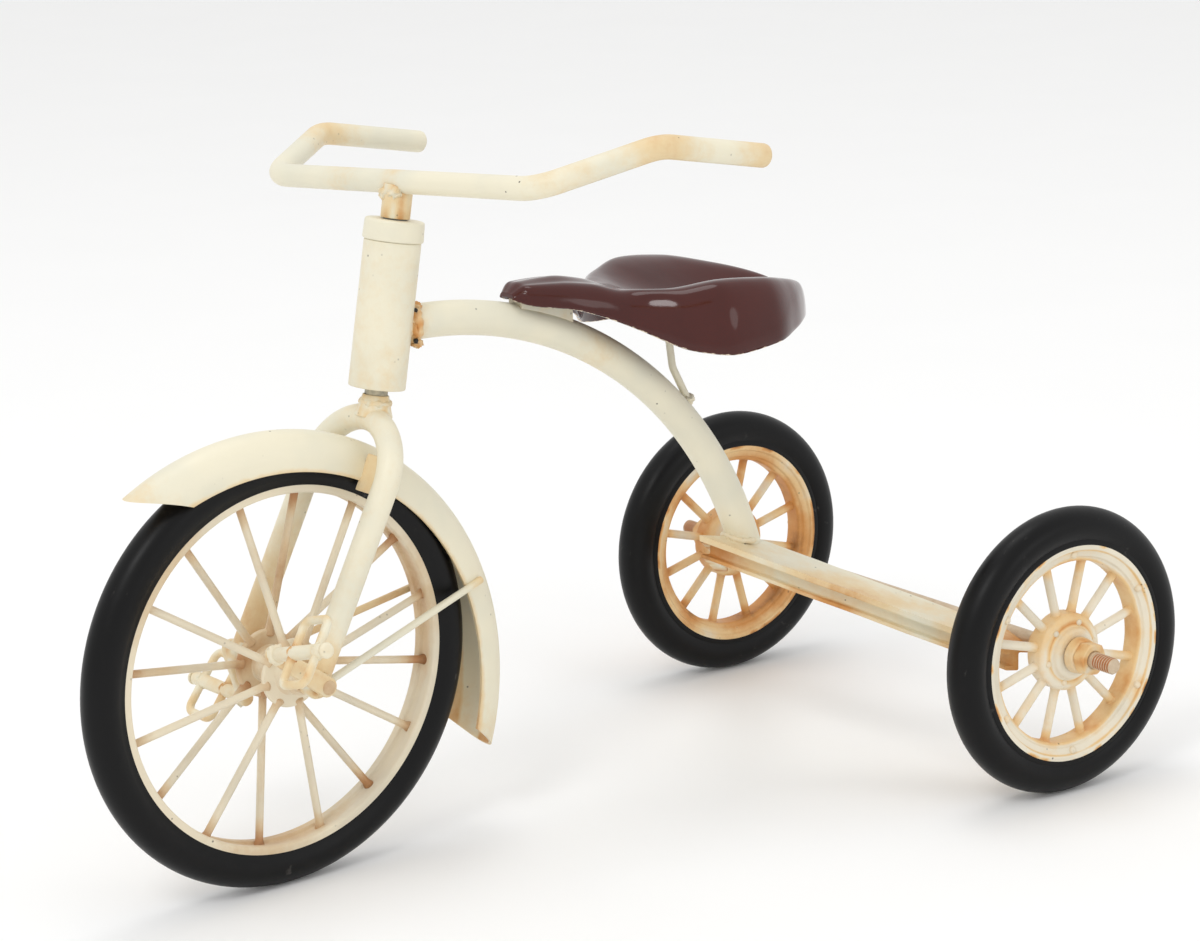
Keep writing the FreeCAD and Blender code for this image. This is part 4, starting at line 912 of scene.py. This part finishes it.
def build_fender():
    rows, cols = 110, 26
    verts = []
    for shrink in (0.0, FENDER_SKIN):
        for i in range(rows + 1):
            for k in range(cols + 1):
                u, r = fender_shape(k / cols, shrink)
                depth = (FENDER_RING - r) / FENDER_DEEP
                # the tip is cut back towards its sides, the tail only a little
                a1 = FENDER_TO - TIP_CUT * depth
                a0 = FENDER_FROM + TAIL_CUT * depth
                verts.append(fender_point(u, r, a0 + (a1 - a0) * i / rows))

    def wear_and_shade(p):
        q = p - FENDER_MID
        ang = atan2(q.z, q.y)
        # the inside of the dome, facing the tyre, gets extra orange-brown: painted shade
        underside_shade = 0.6 if hypot(q.y, q.z) < (FENDER_RING - FENDER_SKIN * 0.5
                                           - (abs(q.x) / FENDER_HALF) ** 2 * (FENDER_DEEP - 0.8)) else 0
        tip = 0.25 * max(0, 1 - (FENDER_TO - ang) / 0.25)
        tail = 0.3 * max(0, 1 - (ang - FENDER_FROM) / 0.3)
        return 0.03 + tip + tail + underside_shade * 0.6
    make("fender_dome", verts, shell_faces(rows, cols), "steering", PAINT, ("fender",), "cream",
         STEER, sharp=50, patina=wear_and_shade)
    parts = []
    lean = Matrix.Translation(HUB + Vector((0, 21.3, 41.8))) @ Matrix.Rotation(
        -atan2(FORK_LEAN.y, FORK_LEAN.z), 4, "X")
    for side in (1, -1):
        parts.append(moved(plank(rounded(oblong(-0.6, 0.6, -4.25, 4.25), 0.4, 3),
                                 side * 5.2, side * 12.6, 10), lean))
    cream("fender_side_tabs", merged(*parts), "steering", "fender_tabs", STEER,
         sharp=60, patina=0.4)
    for word, side in SIDES:
        a = HUB + Vector((side * 13.8, 1.5, -1.6))
        b = HUB + Vector((side * 5.7, 52.4, 10.9))
        rod = sweep(straight(a, b, 30), lambda t: 0.85 + 0.25 * max(0, 1 - t / 0.06), 18)
        # the right stay, on the far side, gets extra orange-brown: painted shade
        cream("fender_stay_rod_" + word, rod, "steering", "fender_stay_" + word,
             STEER, patina=lambda p: 0.5 * near(p, b, 9) + 0.2 * near(p, a, 12)
             + (0.5 if side < 0 else 0.02))


# ------------------------------------------------------------------ front wheel
def tyre_profile(ring, sec, seat, half, steps=44):
    """Closed section of a solid tyre: round outside, sitting on the rim seat."""
    pts = []
    side_low = seat + 1.5
    a0 = atan2(side_low - ring, sqrt(sec ** 2 - (side_low - ring) ** 2))
    for k in range(steps + 1):
        a = a0 + (pi - 2 * a0) * k / steps
        pts.append((sec * cos(a), ring + sec * sin(a)))
    pts += [(-half - 0.15, seat + 0.5), (-half, seat), (half, seat), (half + 0.15, seat + 0.5)]
    return pts


def build_front_wheel():
    v = lathe(tyre_profile(45.4, 4.6, 41.6, 3.5), 180)
    make("front_tyre_ring", *v, "front_wheel", RUBBER, ("front_tyre",), "tyre", WHEEL, sharp=40)
    rim = lathe(rounded([(-3.6, 41.9), (-3.6, 40.3), (-3.2, 40.0), (-1.5, 40.0), (-1.1, 40.6),
                         (1.1, 40.6), (1.5, 40.0), (3.2, 40.0), (3.6, 40.3), (3.6, 41.9)], 0.22, 3),
                180)
    # the near, left face of the rim (x above 2.5) is kept lighter: painted light
    make("front_rim_hoop", *rim, "front_wheel", PAINT_SPOKE, ("front_rim",), "spoke_cream", WHEEL,
         patina=lambda p: 0.30 + 0.25 * sin(3 * atan2(p.z, p.y) + 0.6) - 0.2 * (p.x > 2.5))
    ridge = [(0.0, 3.7), (2.2, 3.7), (2.4, 4.2), (4.0, 4.2), (4.2, 7.5), (4.7, 7.8), (5.3, 7.8),
             (5.6, 7.4), (5.8, 4.9), (6.6, 3.6), (8.0, 3.6), (8.2, 4.2), (9.6, 4.2), (9.8, 3.4),
             (11.6, 3.4), (11.6, 1.9)]
    prof = ridge + [(-u, r) for u, r in reversed(ridge[1:])]
    hub = lathe(rounded(prof, 0.3, 3), 96, wobble=0.05)
    # the far, right end of the hub is made darker and the near flange face lighter: painted shade and
    # painted light
    make("front_hub_barrel", *hub, "front_wheel", PAINT_SPOKE, ("front_hub",), "spoke_cream", WHEEL,
         patina=lambda p: 0.30 + 0.35 * bumpy(p, 5, 1) + 0.2 * (p.x < -4)
         - 0.35 * (4.8 < p.x < 6 and hypot(p.y, p.z) > 5))
    for word, side, phase in (("left", 1, 13.0), ("right", -1, 35.3)):
        rods = []
        for k in range(8):
            a = radians(phase + 45 * k)
            rods.append(sweep(straight(polar(side * 4.9, 6.7, a), polar(side * 0.45, 40.75, a), 26),
                              lambda t: 0.9 + 0.45 * max(0, 1 - t / 0.045) ** 2
                              + 0.4 * max(0, (t - 0.965) / 0.035) ** 2, 18, lumps=0.02, seed=k))

        def wear_and_shade(p):
            r = hypot(p.y, p.z)
            t = (r - 7) / 33.5
            # the right spokes, on the far side, start from a higher base: painted shade
            base = 0.08 if side > 0 else 0.26
            ends = 0.4 * max(0, 1 - t / 0.18) + 0.6 * max(0, (t - 0.80) / 0.20)
            return base + ends + bumpy(p, 14, 0.35, side)
        make("front_spokes_bundle_" + word, *merged(*rods), "front_wheel", PAINT_SPOKE,
             ("front_spokes_" + word,), "spoke_cream", WHEEL, patina=wear_and_shade)


CRANK_IN, CRANK_THICK, CRANK_WIDTH = 17.5, 2.0, 3.6
CRANK_THROW = {"left": 17.0, "right": 12.7}
CRANK_AT = {"left": radians(142.5), "right": radians(-76.0)}
PIN_TILT = {"left": radians(16.0), "right": 0.0}
PEDAL_IN, PEDAL_OUT, PEDAL_HALF, PEDAL_LEAN, PEDAL_WIRE = 7.1, 16.4, 7.6, radians(36), 0.95
PIN_RAD, PIN_LEN = 1.0, 19.6


def crank_arm(word, side):
    """Flat bar with round ends, its edges rounded over."""
    a, throw = CRANK_AT[word], CRANK_THROW[word]
    x0 = CRANK_IN if side > 0 else -CRANK_IN - CRANK_THICK
    outline = []
    r0, r1 = CRANK_WIDTH / 2 + 0.5, CRANK_WIDTH / 2
    for k in range(21):
        t = pi / 2 + pi * k / 20
        outline.append(Vector((r0 * cos(t), r0 * sin(t))))
    for k in range(21):
        t = -pi / 2 + pi * k / 20
        outline.append(Vector((throw + r1 * cos(t), r1 * sin(t))))
    layers = [(0, -0.5), (0.15, -0.2), (0.5, 0), (CRANK_THICK - 0.5, 0), (CRANK_THICK - 0.15, -0.2),
              (CRANK_THICK, -0.5)]
    verts = []
    for u, grow in layers:
        for p in outline:
            d = Vector((p.x - max(0, min(throw, p.x)), p.y))
            q = p + (d.normalized() * grow if d.length > 1e-6 else Vector((0, 0)))
            y, z = q.x * cos(a) - q.y * sin(a), q.x * sin(a) + q.y * cos(a)
            verts.append(Vector((x0 + u, y, z)))
    return verts, between(len(layers), len(outline))


def build_cranks():
    axle = lathe(rounded([(-CRANK_IN - CRANK_THICK - 0.35, 0), (-CRANK_IN - CRANK_THICK - 0.35, 1.6),
                          (-CRANK_IN, 1.9), (CRANK_IN, 1.9), (CRANK_IN + CRANK_THICK + 0.35, 1.6),
                          (CRANK_IN + CRANK_THICK + 0.35, 0)], 0.3, 3, False), 48, False)
    make("crank_axle_rod", *axle, "front_wheel", PAINT_SPOKE, ("crank_axle",), "cream", WHEEL,
         patina=0.5)
    for word, side in SIDES:
        cream("crank_bar_" + word, crank_arm(word, side), "front_wheel", "crank_arm_" + word,
              WHEEL, patina=lambda p: 0.35 + bumpy(p, 4, 0.5))
        a, t, throw = CRANK_AT[word], PIN_TILT[word], CRANK_THROW[word]
        face = polar(side * (CRANK_IN + CRANK_THICK), throw, a)
        out = Vector((side * cos(t), 0, sin(t)))
        pin_place = WHEEL @ carry_x(face, out)
        pin = lathe(rounded([(-0.7, 0), (-0.7, PIN_RAD), (PIN_LEN, PIN_RAD), (PIN_LEN, 1.75),
                             (PIN_LEN + 0.5, 1.75), (PIN_LEN + 1.1, 1.3), (PIN_LEN + 1.1, 0)],
                            0.25, 3, False), 40, False)
        root = blob((0.2, 0, 0), (1.0, 2.2, 2.2), 40 + side, 0.12)
        cream("pedal_pin_rivet_" + word, merged(pin, root), "front_wheel",
             "pedal_pin_" + word, pin_place, sharp=45, patina=0.2)
        sleeve = lathe(rounded(oblong(0.9, 19.2, 1.1, 1.6), 0.15, 2), 44, wobble=0.04, seed=side)
        body = "pedal_" + word
        cream("pedal_sleeve_" + word, sleeve, body, "pedal_tube_" + word, pin_place,
             patina=lambda p: 0.25 + bumpy(p, 4, 0.35))
        axis = Vector((0, sin(PEDAL_LEAN), cos(PEDAL_LEAN)))
        axis = (axis - out * axis.dot(out)).normalized()
        mid = (PEDAL_IN + PEDAL_OUT) / 2
        cs = [face + out * u + axis * v * PEDAL_HALF for u, v in (
            (mid, 1), (PEDAL_OUT, 1), (PEDAL_OUT, -1), (PEDAL_IN, -1), (PEDAL_IN, 1), (mid, 1))]
        loop = fillet(cs, 2.0, 0.5)[:-1]
        wire = sweep(loop, PEDAL_WIRE, 20, closed=True)
        joins = [blob(face + out * d, (0.9, 1.6, 1.8), 50 + d, 0.2) for d in (PEDAL_IN, PEDAL_OUT)]
        cream("pedal_wire_" + word, merged(wire, *joins), body, "pedal_loop_" + word,
             WHEEL, sharp=60, patina=lambda p: 0.3 + bumpy(p, 3.5, 0.4)
             + 0.5 * near(p, face + out * PEDAL_IN, 6))


# ------------------------------------------------------------------ rear wheels
def build_rear_wheels():
    for word, side in SIDES:
        body = "rear_" + word
        place = carry_x(REAR[word], (side, 0, 0))
        make("rear_tyre_ring_" + word, *lathe(tyre_profile(29.8, 4.7, 25.8, 4.1), 150), body, RUBBER,
             ("rear_tyre_" + word,), "tyre", place, sharp=40)
        h = 4.2
        face = [(h, 26.1), (h, 24.9), (h - 0.6, 24.6), (h - 0.9, 23.2), (h - 1.5, 22.9),
                (h - 1.7, 22.1), (h - 2.2, 21.9)]
        prof = face + [(-u, r) for u, r in reversed(face)]
        rim = lathe(rounded(prof, 0.22, 3), 150, wobble=0.03)
        hub = lathe(rounded([(HUB_IN, 2.06), (HUB_OUT, 2.06), (HUB_OUT, 5.4), (4.2, 6.0),
                             (3.3, 6.3), (2.9, 6.9), (2.8, 8.4), (2.1, 9.3), (-2.1, 9.3),
                             (-2.9, 8.4), (-3.0, 6.4), (-3.4, 4.9),
                             (HUB_IN, 4.4)], 0.4, 3), 96, wobble=0.06)
        spokes = []
        for k in range(12):
            a = radians(15 + 30 * k)
            spokes.append(sweep(straight(polar(0, 8.2, a), polar(0, 22.6, a), 24),
                                lambda t: 1.08 + 0.75 * max(0, 1 - t / 0.14) ** 2
                                + 0.6 * max(0, (t - 0.9) / 0.1) ** 2, 20, lumps=0.03, seed=k + side))

        def wear_and_shade(p):
            r = hypot(p.y, p.z)
            # the right wheel, on the far side, starts from a higher base: painted shade
            base = 0.10 if side > 0 else 0.44
            ends = 0.25 * max(0, 1 - abs(r - 9.5) / 3) + 0.4 * max(0, 1 - abs(r - 21.6) / 3)
            # painted shade in the upper of the two steps of the rim face, at r 24.7; the rest of the
            # outer face above r 22.6 is kept a little lighter
            rim_face_step_shade = (-0.2 + 0.55 * max(0, 1 - abs(r - 24.7) / 0.5)) * (r > 22.6 and p.x > 0)
            # edge: painted shade where the tyre sits on the rim, broken up by noise like chips
            edge = 0.9 * max(0, bumpy(p, 3, 2.2, 4.0)) * (r > 25.2)
            # root: painted shade in the corner where the hub boss meets the outer hub face
            root = 0.5 * max(0, 1 - abs(r - 7.0) / 0.6) * (p.x > 2)
            return base + ends + rim_face_step_shade + edge + root + bumpy(p, 9, 0.4, side * 3.1)
        make("rear_wheel_casting_" + word, *merged(rim, hub, *spokes), body, PAINT_WHEEL,
             ("rear_wheel_" + word,), "wheel_cream", place, patina=wear_and_shade)
        heads = []
        for k in range(6):
            heads.append(blob(polar(h - 0.75, 23.9, radians(30 + 60 * k)), (0.8, 0.95, 0.95),
                              60 + k, 0.05, 10, 18))
        for k in range(6):
            heads.append(blob(polar(2.95, 7.3, radians(12 + 60 * k)), (0.5, 0.75, 0.75),
                              70 + k, 0.06, 8, 14))
        make("rear_rivet_heads_" + word, *merged(*heads), body, PAINT_WHEEL, ("rear_rivets_" + word,),
             "wheel_cream", place, sharp=70, patina=0.22)


for build in (build_head, build_backbone, build_yoke, build_axle, build_seat, build_steerer,
              build_handlebar, build_fork, build_fender, build_front_wheel, build_cranks,
              build_rear_wheels):
    build()

# ------------------------------------------------------- floor, light and camera
FLOOR_HALF, WORLD_LIGHT = 6.0, 0.88
floor_mesh = bpy.data.meshes.new("floor")
floor_mesh.from_pydata([(x * FLOOR_HALF, y * FLOOR_HALF, 0) for x, y in (
    (-1, -1), (1, -1), (1, 1), (-1, 1))], [], [(0, 1, 2, 3)])
floor_mesh.materials.append(floor_paper("floor_paper"))
floor = bpy.data.objects.new("floor", floor_mesh)
SCENE.collection.objects.link(floor)


def area_light(name, place, aim, size, power):
    data = bpy.data.lights.new(name, "AREA")
    data.shape, data.size, data.energy = "DISK", size, power
    ob = bpy.data.objects.new(name, data)
    ob.location = place
    ob.rotation_euler = (Vector(aim) - Vector(place)).to_track_quat("-Z", "Y").to_euler()
    SCENE.collection.objects.link(ob)


area_light("key_light", (0.5, -0.9, 1.1), (0, 0, 0.07), 0.42, 3.6)
area_light("top_light", (-0.2, 0.1, 1.3), (0, 0, 0.05), 0.6, 2.0)
area_light("fill_light", (1.2, 0.5, 0.5), (0, 0, 0.08), 0.5, 0.9)
world = bpy.data.worlds.new("studio")
SCENE.world = world
world.use_nodes = True
world.node_tree.nodes["Background"].inputs[0].default_value = (1, 1, 1, 1)
world.node_tree.nodes["Background"].inputs[1].default_value = WORLD_LIGHT
SCENE.view_settings.view_transform = "Standard"

CAM_AZIMUTH, CAM_ELEVATION, CAM_ROLL = radians(54.91), radians(14.10), radians(-1.50)
CAM_PLACE = Vector((0.65628, -0.45222, 0.28148))
CAM_LENS = 106.5
back = Vector((sin(CAM_AZIMUTH) * cos(CAM_ELEVATION), -cos(CAM_AZIMUTH) * cos(CAM_ELEVATION),
               sin(CAM_ELEVATION)))
right = Vector((cos(CAM_AZIMUTH), sin(CAM_AZIMUTH), 0))
up = back.cross(right)
right, up = right * cos(CAM_ROLL) + up * sin(CAM_ROLL), up * cos(CAM_ROLL) - right * sin(CAM_ROLL)
cam_data = bpy.data.cameras.new("camera")
cam_data.lens, cam_data.sensor_width, cam_data.sensor_fit = CAM_LENS, 36, "HORIZONTAL"
camera = bpy.data.objects.new("camera", cam_data)
camera.matrix_world = Matrix.Translation(CAM_PLACE) @ Matrix((right, up, back)).transposed().to_4x4()
SCENE.collection.objects.link(camera)
SCENE.camera = camera
